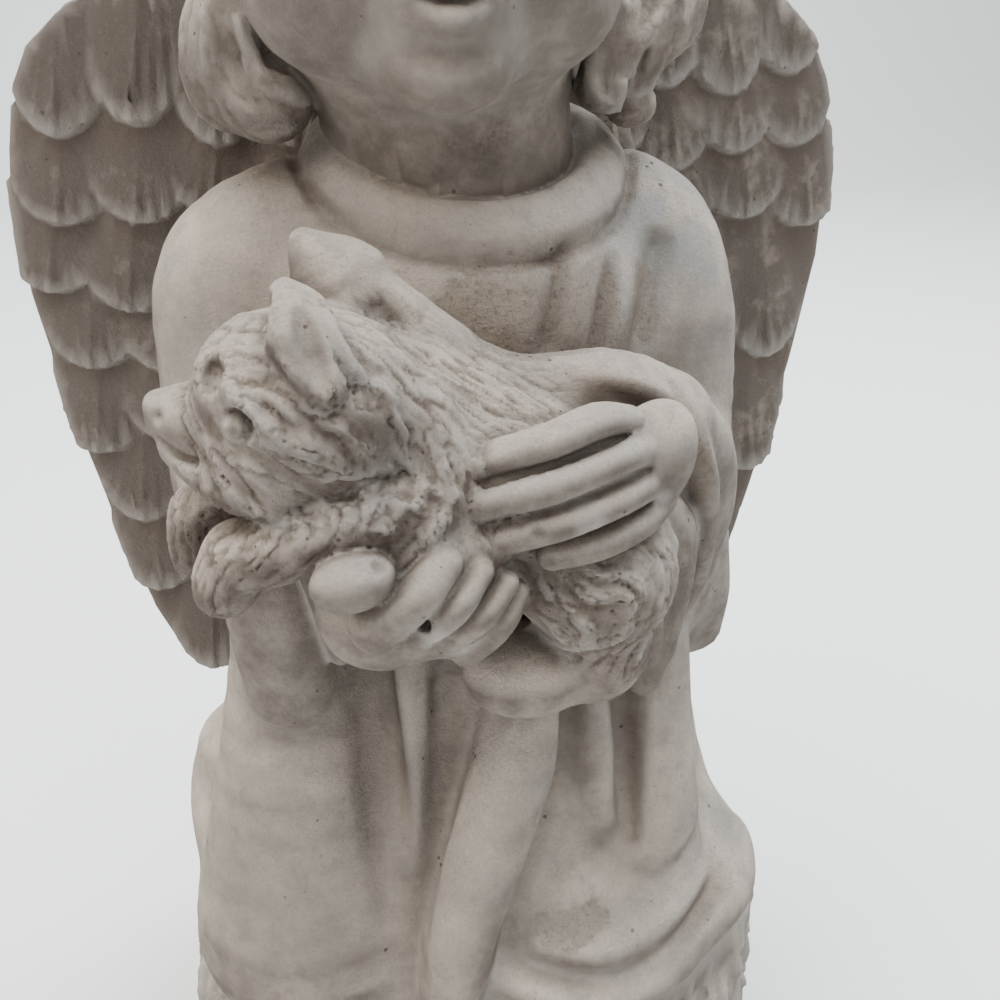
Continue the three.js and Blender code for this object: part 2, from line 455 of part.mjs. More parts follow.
// ---- field to mesh --------------------------------------------------------
// Each grid cell is cut into six tetrahedra, which always gives a closed surface.
const TETRA = [[0, 1, 3, 7], [0, 3, 2, 7], [0, 2, 6, 7], [0, 6, 4, 7], [0, 4, 5, 7], [0, 5, 1, 7]];
function polygonise() {
  const tiny = GRID_STEP * 0.06;
  for (let k = 0; k < NZ; k++) {
    const z = LOW.z + k * GRID_STEP;
    for (let n = 0; n < NX * NY; n++) {
      const at = k * NX * NY + n;
      field[at] = Math.max(field[at], -z);
      if (Math.abs(field[at]) < tiny) field[at] = field[at] < 0 ? -tiny : tiny;
    }
  }
  const points = [];
  const faces = [];
  const seen = new Map();
  const place = (n) => {
    const k = Math.floor(n / (NX * NY));
    const j = Math.floor((n - k * NX * NY) / NX);
    const i = n - k * NX * NY - j * NX;
    return [LOW.x + i * GRID_STEP, LOW.y + j * GRID_STEP, LOW.z + k * GRID_STEP];
  };
  const crossing = (a, b) => {
    const key = a < b ? a * field.length + b : b * field.length + a;
    if (seen.has(key)) return seen.get(key);
    const [low, high] = a < b ? [a, b] : [b, a];
    const [p, q] = [place(low), place(high)];
    const t = field[low] / (field[low] - field[high]);
    points.push(p.map((v, axis) => v + (q[axis] - v) * t));
    seen.set(key, points.length - 1);
    return points.length - 1;
  };
  const corner = [0, 1, NX, NX + 1, NX * NY, NX * NY + 1, NX * NY + NX, NX * NY + NX + 1];
  for (let k = 0; k < NZ - 1; k++) {
    for (let j = 0; j < NY - 1; j++) {
      for (let i = 0; i < NX - 1; i++) {
        const at = (k * NY + j) * NX + i;
        let inside = 0;
        for (const c of corner) inside += field[at + c] < 0 ? 1 : 0;
        if (inside === 0 || inside === 8) continue;
        for (const tetra of TETRA) {
          const ids = tetra.map((c) => at + corner[c]);
          const inn = ids.filter((n) => field[n] < 0);
          const out = ids.filter((n) => field[n] >= 0);
          if (inn.length === 0 || out.length === 0) continue;
          if (inn.length === 1) faces.push(out.map((n) => crossing(inn[0], n)));
          else if (out.length === 1) faces.push(inn.map((n) => crossing(n, out[0])));
          else {
            const [a, b] = [crossing(inn[0], out[0]), crossing(inn[0], out[1])];
            const [c, d] = [crossing(inn[1], out[1]), crossing(inn[1], out[0])];
            faces.push([a, b, c], [a, c, d]);
          }
          const fresh = inn.length === 2 ? 2 : 1;
          const [p, q] = [place(inn[0]), place(out[0])];
          for (let n = faces.length - fresh; n < faces.length; n++) {
            const [a, b, c] = faces[n].map((v) => new THREE.Vector3(...points[v]));
            const normal = b.clone().sub(a).cross(c.clone().sub(a));
            const toward = normal.x * (q[0] - p[0]) + normal.y * (q[1] - p[1]) + normal.z * (q[2] - p[2]);
            if (toward < 0) faces[n].reverse();
          }
        }
      }
    }
  }
  return { points, faces };
}

// Keep only the largest connected shell.
function largestShell({ points, faces }) {
  const parent = points.map((_, i) => i);
  const root = (i) => {
    while (parent[i] !== i) {
      parent[i] = parent[parent[i]];
      i = parent[i];
    }
    return i;
  };
  for (const [a, b, c] of faces) {
    parent[root(a)] = root(b);
    parent[root(b)] = root(c);
  }
  const count = new Map();
  for (const f of faces) count.set(root(f[0]), (count.get(root(f[0])) || 0) + 1);
  const best = [...count.entries()].sort((p, q) => q[1] - p[1])[0][0];
  return { points, faces: faces.filter((f) => root(f[0]) === best) };
}

// Slide the points along the surface until the triangles are evenly shaped.
function relax({ points, faces }, rounds) {
  for (let round = 0; round < rounds; round++) {
    const sum = points.map(() => [0, 0, 0, 0]);
    const normal = points.map(() => [0, 0, 0]);
    for (const f of faces) {
      const [a, b, c] = f.map((v) => points[v]);
      const u = [b[0] - a[0], b[1] - a[1], b[2] - a[2]];
      const w = [c[0] - a[0], c[1] - a[1], c[2] - a[2]];
      const n = [u[1] * w[2] - u[2] * w[1], u[2] * w[0] - u[0] * w[2], u[0] * w[1] - u[1] * w[0]];
      for (let i = 0; i < 3; i++) {
        const next = points[f[(i + 1) % 3]];
        for (let axis = 0; axis < 3; axis++) {
          sum[f[i]][axis] += next[axis];
          normal[f[i]][axis] += n[axis];
        }
        sum[f[i]][3] += 1;
      }
    }
    points.forEach((p, v) => {
      if (Math.abs(p[2]) < 1e-6 || sum[v][3] === 0) return;
      const size = Math.hypot(...normal[v]) || 1;
      const n = normal[v].map((c) => c / size);
      const d = p.map((c, axis) => sum[v][axis] / sum[v][3] - c);
      const along = d[0] * n[0] + d[1] * n[1] + d[2] * n[2];
      for (let axis = 0; axis < 3; axis++) p[axis] += 0.7 * (d[axis] - along * n[axis]);
    });
  }
  return { points, faces };
}

// Edge collapse by quadric error, keeping the surface closed and the underside flat.
function collapse({ points, faces }, limit) {
  const quad = points.map(() => new Float64Array(10));
  const fan = points.map(() => new Set());
  const alive = new Uint8Array(faces.length).fill(1);
  const onFloor = points.map((p) => Math.abs(p[2]) < 1e-6);
  const planeOf = (f) => {
    const [a, b, c] = f.map((v) => points[v]);
    const u = [b[0] - a[0], b[1] - a[1], b[2] - a[2]];
    const v = [c[0] - a[0], c[1] - a[1], c[2] - a[2]];
    const n = [u[1] * v[2] - u[2] * v[1], u[2] * v[0] - u[0] * v[2], u[0] * v[1] - u[1] * v[0]];
    const size = Math.hypot(...n);
    return size > 1e-12 ? [n[0] / size, n[1] / size, n[2] / size, size] : [0, 0, 0, 0];
  };
  faces.forEach((f, id) => {
    const [a, b, c, area] = planeOf(f);
    const p = points[f[0]];
    const d = -(a * p[0] + b * p[1] + c * p[2]);
    const q = [a * a, a * b, a * c, a * d, b * b, b * c, b * d, c * c, c * d, d * d];
    for (const v of f) {
      for (let i = 0; i < 10; i++) quad[v][i] += q[i] * area;
      fan[v].add(id);
    }
  });
  const errorAt = (q, [x, y, z]) => q[0] * x * x + 2 * q[1] * x * y + 2 * q[2] * x * z + 2 * q[3] * x
    + q[4] * y * y + 2 * q[5] * y * z + 2 * q[6] * y + q[7] * z * z + 2 * q[8] * z + q[9];
  const version = new Int32Array(points.length);
  const heap = [];
  const push = (item) => {
    let i = heap.push(item) - 1;
    while (i > 0) {
      const up = (i - 1) >> 1;
      if (heap[up].cost <= heap[i].cost) break;
      [heap[up], heap[i]] = [heap[i], heap[up]];
      i = up;
    }
  };
  const pop = () => {
    const first = heap[0];
    const last = heap.pop();
    if (heap.length === 0) return first;
    heap[0] = last;
    let i = 0;
    while (true) {
      let small = i;
      const [l, r] = [2 * i + 1, 2 * i + 2];
      if (l < heap.length && heap[l].cost < heap[small].cost) small = l;
      if (r < heap.length && heap[r].cost < heap[small].cost) small = r;
      if (small === i) break;
      [heap[small], heap[i]] = [heap[i], heap[small]];
      i = small;
    }
    return first;
  };
  const offer = (a, b) => {
    const q = quad[a].map((v, i) => v + quad[b][i]);
    const [p, r] = [points[a], points[b]];
    const middle = [(p[0] + r[0]) / 2, (p[1] + r[1]) / 2, (p[2] + r[2]) / 2];
    let choices = [p, r, middle];
    const det = q[0] * (q[4] * q[7] - q[5] * q[5]) - q[1] * (q[1] * q[7] - q[5] * q[2])
      + q[2] * (q[1] * q[5] - q[4] * q[2]);
    if (Math.abs(det) > 1e-4 * (q[0] + q[4] + q[7]) ** 3) {
      const m = new THREE.Matrix3().set(q[0], q[1], q[2], q[1], q[4], q[5], q[2], q[5], q[7]).invert();
      const best = new THREE.Vector3(-q[3], -q[6], -q[8]).applyMatrix3(m);
      if (Math.hypot(best.x - middle[0], best.y - middle[1], best.z - middle[2]) < 6) {
        choices = [best.toArray(), ...choices];
      }
    }
    if (onFloor[a] && !onFloor[b]) choices = [p];
    else if (onFloor[b] && !onFloor[a]) choices = [r];
    else if (onFloor[a]) choices = [p, r, middle];
    const spot = choices.reduce((x, y) => (errorAt(q, y) < errorAt(q, x) ? y : x));
    const span = Math.hypot(p[0] - r[0], p[1] - r[1], p[2] - r[2]);
    push({ cost: errorAt(q, spot) + 1e-3 * span * span, a, b, spot, va: version[a], vb: version[b] });
  };
  const around = (v) => {
    const ring = new Set();
    for (const id of fan[v]) for (const w of faces[id]) if (w !== v) ring.add(w);
    return ring;
  };
  points.forEach((_, v) => {
    if (fan[v].size) for (const w of around(v)) if (v < w) offer(v, w);
  });
  let total = faces.length;
  while (total > limit && heap.length) {
    const { a, b, spot, va, vb } = pop();
    if (version[a] !== va || version[b] !== vb || !fan[a].size || !fan[b].size) continue;
    const [ringA, ringB] = [around(a), around(b)];
    let shared = 0;
    for (const v of ringA) shared += ringB.has(v) ? 1 : 0;
    if (shared !== 2 || ringA.size + ringB.size > 22) continue;
    let safe = true;
    for (const [v, other] of [[a, b], [b, a]]) {
      for (const id of fan[v]) {
        const f = faces[id];
        if (f.includes(other)) continue;
        const before = planeOf(f);
        const [p, q, r] = f.map((w) => (w === v ? spot : points[w]));
        const u = [q[0] - p[0], q[1] - p[1], q[2] - p[2]];
        const w = [r[0] - p[0], r[1] - p[1], r[2] - p[2]];
        const n = [u[1] * w[2] - u[2] * w[1], u[2] * w[0] - u[0] * w[2], u[0] * w[1] - u[1] * w[0]];
        const size = Math.hypot(...n);
        const third = Math.hypot(q[0] - r[0], q[1] - r[1], q[2] - r[2]);
        const longest = Math.max(Math.hypot(...u), Math.hypot(...w), third);
        const facing = (n[0] * before[0] + n[1] * before[1] + n[2] * before[2]) / (size || 1);
        const [o, e, g] = f.map((w) => points[w]);
        const length = Math.max(Math.hypot(o[0] - e[0], o[1] - e[1], o[2] - e[2]),
          Math.hypot(e[0] - g[0], e[1] - g[1], e[2] - g[2]), Math.hypot(g[0] - o[0], g[1] - o[1], g[2] - o[2]));
        const shape = size / (longest * longest);
        const oldShape = before[3] / (length * length);
        if (shape < Math.min(0.12, oldShape * 0.95) || shape < 0.02) safe = false;
        if (oldShape > 0.06 && facing < 0.3) safe = false;
      }
    }
    if (!safe) continue;
    for (const id of [...fan[a]]) {
      if (!faces[id].includes(b)) continue;
      for (const v of faces[id]) fan[v].delete(id);
      alive[id] = 0;
      total -= 1;
    }
    for (const id of fan[b]) {
      faces[id] = faces[id].map((v) => (v === b ? a : v));
      fan[a].add(id);
    }
    fan[b].clear();
    points[a] = spot;
    onFloor[a] = onFloor[a] || onFloor[b];
    quad[a] = quad[a].map((v, i) => v + quad[b][i]);
    version[a] += 1;
    version[b] += 1;
    for (const v of around(a)) offer(a, v);
  }
  return { points, faces: faces.filter((_, id) => alive[id]) };
}

function toGeometry({ points, faces }) {
  const slot = new Map();
  const coordinates = [];
  const index = faces.flat().map((v) => {
    if (!slot.has(v)) {
      slot.set(v, slot.size);
      coordinates.push(...points[v].map((n) => Math.round(n * 1e4) / 1e4));
    }
    return slot.get(v);
  });
  const geometry = new THREE.BufferGeometry();
  geometry.setAttribute('position', new THREE.Float32BufferAttribute(coordinates, 3));
  geometry.setIndex(index);
  geometry.computeVertexNormals();
  return geometry;
}

// ---- assembly -------------------------------------------------------------
buildFoot();
buildRobe();
buildChest();
buildSleeves();
buildWing({ side: -1, lift: 0, spread: 0.975 }, LEFT_ROWS);
buildWing({ side: 1, lift: 3, spread: 1 }, RIGHT_ROWS);
buildCollarAndNeck();
buildHead();
buildHair();
buildPuppy();
buildHands();

const concrete = new THREE.MeshStandardMaterial({ color: 0xb9aea2, roughness: 0.92, metalness: 0 });
concrete.name = 'cast_concrete';
const casting = collapse(relax(largestShell(polygonise()), 4), TRIANGLE_LIMIT);
const statue = new THREE.Mesh(toGeometry(casting), concrete);
statue.name = 'cherub_statue';
const group = new THREE.Group();
group.name = 'cherub_garden_statue';
group.add(statue);
export default group;
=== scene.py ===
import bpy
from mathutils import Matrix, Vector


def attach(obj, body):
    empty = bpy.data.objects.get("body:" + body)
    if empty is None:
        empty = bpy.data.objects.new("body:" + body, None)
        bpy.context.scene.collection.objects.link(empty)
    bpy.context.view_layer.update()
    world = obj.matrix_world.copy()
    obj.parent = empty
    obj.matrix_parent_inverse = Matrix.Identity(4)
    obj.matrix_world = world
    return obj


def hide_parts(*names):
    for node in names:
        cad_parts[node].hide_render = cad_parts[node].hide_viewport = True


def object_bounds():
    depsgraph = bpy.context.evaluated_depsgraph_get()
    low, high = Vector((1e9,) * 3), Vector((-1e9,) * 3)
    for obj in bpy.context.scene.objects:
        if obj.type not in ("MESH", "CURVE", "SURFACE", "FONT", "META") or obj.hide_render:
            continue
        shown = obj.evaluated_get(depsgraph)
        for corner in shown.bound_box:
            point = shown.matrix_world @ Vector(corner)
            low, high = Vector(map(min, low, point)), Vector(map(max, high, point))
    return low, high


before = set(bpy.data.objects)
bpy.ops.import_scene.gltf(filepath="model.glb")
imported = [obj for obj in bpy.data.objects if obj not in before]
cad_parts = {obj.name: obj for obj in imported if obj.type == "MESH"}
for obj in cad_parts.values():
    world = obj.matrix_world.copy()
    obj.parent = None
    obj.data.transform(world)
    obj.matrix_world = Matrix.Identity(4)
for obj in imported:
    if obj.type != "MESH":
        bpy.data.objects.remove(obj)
CAD_BOX = [list(corner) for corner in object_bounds()]

import itertools
import math
import bpy
import numpy as np
from mathutils import Vector

# The statue is one casting. Its form is a distance field (negative inside), built in design
# millimetres by joining and cutting rounded shapes. The field is meshed, fine grooves of fur and
# hair are brushed into the mesh, and it is thinned and given its finish.

# ---- sizes ----
DESIGN_HEIGHT = 398.7
UNIT = (CAD_BOX[1][2] - CAD_BOX[0][2]) / DESIGN_HEIGHT  # metres in a design millimetre
FAR = 10.0  # field value away from every shape
FINE = 0.7  # grid step round the puppy and the hands
COARSE = FINE * 1.6  # grid step elsewhere
TRIANGLES = 195000
BASE_HALF_WIDTH, BASE_HALF_DEPTH, BASE_TOP = 92, 83, 70
HEAD = (-9, -8, 346)  # centre of the skull
WING_TOP, WING_TIP, WING_THICKNESS = 324, 116, 11
COLLAR_X, COLLAR_Z, COLLAR_RADIUS, COLLAR_THICKNESS, COLLAR_STEPS = 1.5, 278, 35.5, 5.2, 36
CURL_STEPS, CURL_TURN = 7, 62  # points of a curl, and the degrees between them
PERIOD = 48  # cells of the random lattice before it repeats
random = np.random.default_rng(7)
LATTICE = random.standard_normal((PERIOD, PERIOD, PERIOD))


# ---- field ----
def spaced(low, fine_low, fine_high, high):
    """Grid planes: closer together between fine_low and fine_high."""
    left = np.arange(fine_low, low, -COARSE)[::-1]
    middle = np.arange(fine_low + FINE, fine_high, FINE)
    right = np.arange(middle[-1] + COARSE, high, COARSE)
    return np.concatenate([left, middle, right]).astype(np.float32)


GX = spaced(-128, -78, 62, 128)
GY = spaced(-118, -117, -34, 90)
GZ = spaced(-4, 148, 318, 406)
GZ = GZ - 0.5 * (GZ[GZ < 0][-1] + GZ[GZ > 0][0])  # the ground lies midway between two planes
F = np.full((len(GX), len(GY), len(GZ)), FAR, np.float32)
AXES = (GX, GY, GZ)


def window(low, high):
    """Slices of the grid that cover a box."""
    out = []
    for axis, a, b in zip(AXES, low, high):
        first = max(int(np.searchsorted(axis, a)) - 1, 0)
        last = min(int(np.searchsorted(axis, b)) + 1, len(axis))
        out.append(slice(first, max(last, first + 1)))
    return tuple(out)


def nodes(sl):
    """The grid's x, y and z on a window, ready to broadcast."""
    return (GX[sl[0]][:, None, None], GY[sl[1]][None, :, None], GZ[sl[2]][None, None, :])


def soft_min(a, b, k):
    """The smaller of two fields, blended where they are within k of each other."""
    h = np.maximum(k - np.abs(a - b), 0) / k
    return np.minimum(a, b) - h * h * (k * 0.25)


def distance_of(shape, reach):
    """Distance to a shape, given as (low, high, rule) pieces and a relief or None."""
    pieces, relief = shape
    low = np.min([p[0] for p in pieces], axis=0) - reach
    high = np.max([p[1] for p in pieces], axis=0) + reach
    sl = window(low, high)
    first = [s.start for s in sl]
    out = np.full([s.stop - s.start for s in sl], FAR, np.float32)
    for a, b, rule in pieces:
        sub = window(np.array(a) - reach, np.array(b) + reach)
        here = tuple(slice(s.start - f, s.stop - f) for s, f in zip(sub, first))
        out[here] = np.minimum(out[here], rule(*nodes(sub)))
    if relief is not None:
        out -= relief(*nodes(sl))
    return sl, out


def join(shape, k):
    sl, d = distance_of(shape, max(k, 2.5))
    F[sl] = soft_min(F[sl], d, k)


def cut(shape, k):
    sl, d = distance_of(shape, max(k, 2.5))
    F[sl] = -soft_min(-F[sl], d, k)


# ---- shapes ----
def turned(degrees):
    """Rotation matrix: about x, then y, then z."""
    a, b, c = [math.radians(v) for v in degrees]
    rx = np.array([[1, 0, 0], [0, math.cos(a), -math.sin(a)], [0, math.sin(a), math.cos(a)]])
    ry = np.array([[math.cos(b), 0, math.sin(b)], [0, 1, 0], [-math.sin(b), 0, math.cos(b)]])
    rz = np.array([[math.cos(c), -math.sin(c), 0], [math.sin(c), math.cos(c), 0], [0, 0, 1]])
    return rx @ ry @ rz


def egg(c, r, turn=(0, 0, 0), relief=None):
    """An egg with radii r, turned about its own x, y and z axes."""
    m = turned(turn).astype(np.float32)
    reach = np.sqrt(((m * np.array(r)) ** 2).sum(axis=1))

    def rule(x, y, z):
        u, v, w = x - c[0], y - c[1], z - c[2]
        a, b, d = [(m[0, i] * u + m[1, i] * v + m[2, i] * w) / r[i] for i in range(3)]
        k0 = np.sqrt(a * a + b * b + d * d)
        k1 = np.sqrt((a / r[0]) ** 2 + (b / r[1]) ** 2 + (d / r[2]) ** 2)
        return np.minimum(k0 * (k0 - 1) / np.maximum(k1, 1e-6), FAR)

    return [(np.array(c) - reach, np.array(c) + reach, rule)], relief


def limb(p, q):
    """A straight tapering rod between two points [x, y, z, radius]."""
    p, q = np.array(p, np.float32), np.array(q, np.float32)
    u = q[:3] - p[:3]
    size = float(u @ u) + 1e-9

    def rule(x, y, z):
        vx, vy, vz = x - p[0], y - p[1], z - p[2]
        t = np.clip((u[0] * vx + u[1] * vy + u[2] * vz) / size, 0, 1)
        gap = np.sqrt((vx - t * u[0]) ** 2 + (vy - t * u[1]) ** 2 + (vz - t * u[2]) ** 2)
        return gap - p[3] - t * (q[3] - p[3])

    low = np.minimum(p[:3] - p[3], q[:3] - q[3])
    high = np.maximum(p[:3] + p[3], q[:3] + q[3])
    return low, high, rule


def smooth_points(points, pieces):
    """Catmull-Rom points through [x, y, z, radius], radius running straight."""
    p = np.array(points, float)
    p = np.vstack([2 * p[0] - p[1], p, 2 * p[-1] - p[-2]])
    out = []
    for i in range(1, len(p) - 2):
        for t in np.arange(pieces) / pieces:
            a, b, c, d = p[i - 1][:3], p[i][:3], p[i + 1][:3], p[i + 2][:3]
            xyz = 0.5 * (2 * b + (c - a) * t + (2 * a - 5 * b + 4 * c - d) * t * t
                         + (3 * b - a - 3 * c + d) * t ** 3)
            out.append([*xyz, p[i][3] + (p[i + 1][3] - p[i][3]) * t])
    out.append(list(p[-2]))
    return out


def strand(points, pieces=4):
    """A tapering strand through points [x, y, z, radius]."""
    knots = smooth_points(points, pieces)
    return [limb(a, b) for a, b in zip(knots, knots[1:])], None


def ridge(k, *points, pieces=4):
    """Join a strand through points [x, y, z, radius], blended over k."""
    join(strand(points, pieces), k)


def groove(k, *points, pieces=4):
    """Cut a strand away."""
    cut(strand(points, pieces), k)


def lump(k, *shape):
    """Join an egg: centre, radii, turn, relief."""
    join(egg(*shape), k)


def dent(k, *shape):
    """Cut an egg away."""
    cut(egg(*shape), k)


# ---- foot: rough rock that rises behind the robe ----
def rock_lumps(x, y, z):
    a = np.arctan2(y, x)
    broad = 1.5 * np.sin(5 * a + z * 0.08) + 1.2 * np.sin(9 * a - z * 0.12)
    return broad + 0.9 * np.sin(z * 0.25 + 3 * a)


def build_foot():
    def mound(x, y, z):
        taper = 1 - 0.045 * (z / BASE_TOP)
        ring = np.hypot((x - 2) / BASE_HALF_WIDTH, (y + 5) / BASE_HALF_DEPTH)
        side = (ring - taper) * BASE_HALF_DEPTH - rock_lumps(x, y, z) * 0.8
        return np.minimum(-soft_min(-side, BASE_TOP - z, 14), FAR)

    join(([((-96, -92, -5), (100, 82, BASE_TOP + 8), mound)], None), 2)
    for centre, radii, lean in (([-60, 26, 66], [30, 32, 41], -6), ([58, 26, 58], [29, 32, 38], 8),
                                ([0, 44, 62], [44, 26, 38], 0)):
        lump(6, centre, radii, [0, lean, 0], rock_lumps)


# ---- robe ----
# Stations up the robe: height, half width, reach to the front, reach to the back.
ROBE = np.array([
    [58, 82, 80, 56], [70, 85, 83, 58], [84, 79, 78, 55], [104, 73, 70, 51], [130, 68, 62, 47],
    [160, 65, 57, 44], [190, 63, 54, 42], [220, 60, 51, 40], [245, 53, 46, 37], [266, 40, 38, 33]])


def robe_at(z):
    return [np.interp(z, ROBE[:, 0], ROBE[:, n]).astype(np.float32) for n in (1, 2, 3)]


def on_robe(x, z, proud, radius, side=-1):
    """Point on the front or back of the robe, moved out by proud."""
    wide, front, back = [float(v) for v in robe_at(z)]
    deep = front if side < 0 else back
    y = side * deep * math.sqrt(max(0.05, 1 - (x / wide) ** 2))
    return [x, y + side * proud, z, radius]


def fold(k, *points):
    """Join a strand that runs over the robe."""
    ridge(k, *[on_robe(*p) for p in points])


def furrow(k, *points):
    """Cut a strand that runs over the robe."""
    groove(k, *[on_robe(*p) for p in points])


def build_robe():
    top, bottom = ROBE[-1, 0], ROBE[0, 0]

    def cloth(x, y, z):
        wide, front, back = robe_at(z)
        deep = np.where(y < 0, front, back)
        side = (np.hypot(x / wide, y / deep) - 1) * np.minimum(wide, deep)
        return np.minimum(-soft_min(-side, -np.maximum(z - top, bottom - z), 6), FAR)

    join(([((-86, -84, bottom), (86, 60, top), cloth)], None), 2)
    # broad column of cloth over the viewer-left leg
    ridge(8, [-49, -38, 176, 14], [-50, -44, 140, 20], [-50, -46, 108, 27], [-49, -45, 86, 33])
    # folds between the two legs
    fold(4, (-21, 168, -2, 8), (-22.5, 142, -1, 7), (-25, 114, -1, 4.5))
    fold(4, (7, 164, 0, 10), (3, 142, 3, 11), (-6, 119, 5, 11), (-13, 97, 4, 9.5), (-16, 84, 2, 8))
    fold(5, (23, 158, -1, 7), (25, 140, 0, 6.5), (26, 118, -2, 6))
    fold(5, (42, 162, -2, 12), (42, 134, -1, 13), (42, 106, -3, 15))
    # cloth gathered over the viewer-right foot
    lump(8, [38, -42, 84], [43, 36, 21], [0, 6, 12])
    ridge(5, [-2, -78, 84, 5], [18, -80, 74, 8], [44, -70, 76, 9], [70, -44, 88, 7])
    ridge(5, [8, -76, 92, 4], [26, -76, 88, 6], [48, -62, 93, 6], [66, -38, 97, 2.5])
    # grooves
    furrow(3.5, (-31, 172, 3, 5), (-30, 138, 6, 6), (-29, 108, 9, 5), (-27, 86, 9, 3))
    furrow(2.5, (-13, 162, 3, 4), (-14.5, 140, 4, 3.6), (-18, 118, 5, 3), (-22, 100, 6, 2))
    furrow(3, (16, 158, 4, 4.5), (13.5, 140, 4, 5), (8, 120, 6, 5.5), (1, 100, 8, 5), (-3, 84, 10, 3.5))
    furrow(5, (32, 162, 4, 4), (33, 146, 4, 3.6), (33.5, 130, 4.5, 2.8), (33.5, 112, 5, 1))
    groove(3, [6, -80, 100, 3], [24, -78, 100, 3.4], [42, -74, 102, 2.5], [58, -58, 110, 1.5])
    groove(4, [14, -88, 80, 1.6], [36, -83, 83, 2.4], [62, -64, 94, 2])
    groove(8, [-44, -84, 128, 1], [-42, -88, 108, 2], [-40, -88, 92, 1])
    # long plain folds down the back
    for x, lean in ((-44, -8), (-16, -3), (14, 4), (42, 9)):
        fold(7, (x * 0.8, 190, 0, 5, 1), (x, 145, 1, 8, 1), (x + lean, 112, 0, 8, 1))


# ---- shoulders, chest, collar, neck ----
def build_chest():
    lump(10, [0, -8, 240], [56, 39, 36])
    lump(8, [0, 10, 262], [42, 29, 25])


def build_collar_and_neck():
    ring = []
    for i in range(COLLAR_STEPS + 1):
        a = i / COLLAR_STEPS * math.tau
        y = math.sin(a) * COLLAR_RADIUS
        z = COLLAR_Z + (0.42 if y < 0 else 0.2) * y
        ring.append([COLLAR_X + math.cos(a) * COLLAR_RADIUS, y - 1, z, COLLAR_THICKNESS])
    inner = [[(x - COLLAR_X) * 0.93 + 1, y * 0.93, z + 5, r * 0.85] for x, y, z, r in ring]
    crease = [[(x - COLLAR_X) * 1.13 + COLLAR_X, y * 1.13, z - 4.5] for x, y, z, r in ring]
    ridge(1, *ring, pieces=1)
    ridge(4, *inner, pieces=1)
    crease = to_surface(np.array(crease))
    groove(2, *[[*p, 1.0] for p in crease], pieces=1)
    ridge(0.6, [0, -1, 262, 31], [-2, -2, 280, 30], [-6, -5, 306, 30.5], pieces=3)


def pleat_chest():
    """Soft hollows that run down from the shoulder seam."""
    groove(7, [44.5, -26, 260, 0.4], [42, -32.5, 250.5, 2.4], [39.5, -37.5, 242, 3], [38, -42, 234, 2])
    groove(3.5, [31, -35, 259, 0.5], [28, -40.5, 250.5, 1.8], [25.5, -44.5, 241, 2.2])
    groove(3.5, [17.5, -38, 262, 0.5], [15, -45, 252, 1.3], [13, -48, 243.5, 1.8])


# ---- sleeves ----
def build_sleeves():
    # viewer-left arm: shoulder, elbow, forearm across the belly, hanging cuff
    ridge(6, [-32, 1, 258, 24], [-50, -2, 248, 26], [-52, -8, 230, 25.5], [-53, -22, 208, 23],
          [-47, -46, 200, 19])
    ridge(4, [-50, -56, 200, 14], [-51, -58, 182, 11.5], [-50, -57, 166, 10.5])
    ridge(4, [-42, -74, 207, 4.5], [-39, -70, 190, 3.6], [-38, -65, 177, 2])
    groove(3, [-46, -76, 196, 2], [-44, -74, 182, 2.5], [-43, -72, 170, 1.5])
    ridge(8, [-50, -36, 190, 14], [-49, -44, 172, 11], [-48, -50, 158, 8])
    # viewer-right arm: the wide sleeve falls from the elbow to a blunt edge
    ridge(6, [28, 2, 260, 23], [43, -1, 253, 25.5], [48, -6, 236, 25], [51, -14, 212, 20.5],
          [49, -26, 198, 17])
    ridge(6, [37, -54, 224, 13], [44, -44, 213, 16], [50, -30, 202, 17.5])
    ridge(5, [57.5, -20, 198, 11.5], [59.5, -22, 178, 11], [62, -20, 162, 11.5], [62, -18, 153, 11])
    ridge(6, [52, -32, 190, 14], [52, -30, 166, 11], [54, -24, 152, 9])
    ridge(3, [61.5, -22, 178, 9.5], [63.5, -22, 162, 9], [64.5, -22, 149.5, 7.5])
    # rolled edge of the cuff round the wrist, with a deep groove inside it
    ridge(3, [12, -62, 237, 6.5], [26, -61, 235, 9], [37, -56, 226, 12])
    ridge(2, [13, -65, 240.5, 2.6], [25, -67.5, 239.5, 3.2], [34, -66.5, 234, 3.6], [41, -65, 225, 3.8],
          [46, -62.5, 215, 3.8], [49, -58, 202, 3.8], [51, -52, 187, 3.8], [52, -44, 172, 3.8])
    groove(1.5, [20, -71, 238, 1], [30, -70, 233.5, 1.6], [35.5, -71, 228, 1.8], [39, -70.5, 219, 1.8],
           [42, -67, 207, 1.6])
    groove(4, [36, -54, 243, 1.5], [54, -42, 237, 3], [76, -20, 234, 2.4])


# ---- head ----
def at_head(x, y, z, *radius):
    return [HEAD[0] + x, HEAD[1] + y, HEAD[2] + z, *radius]


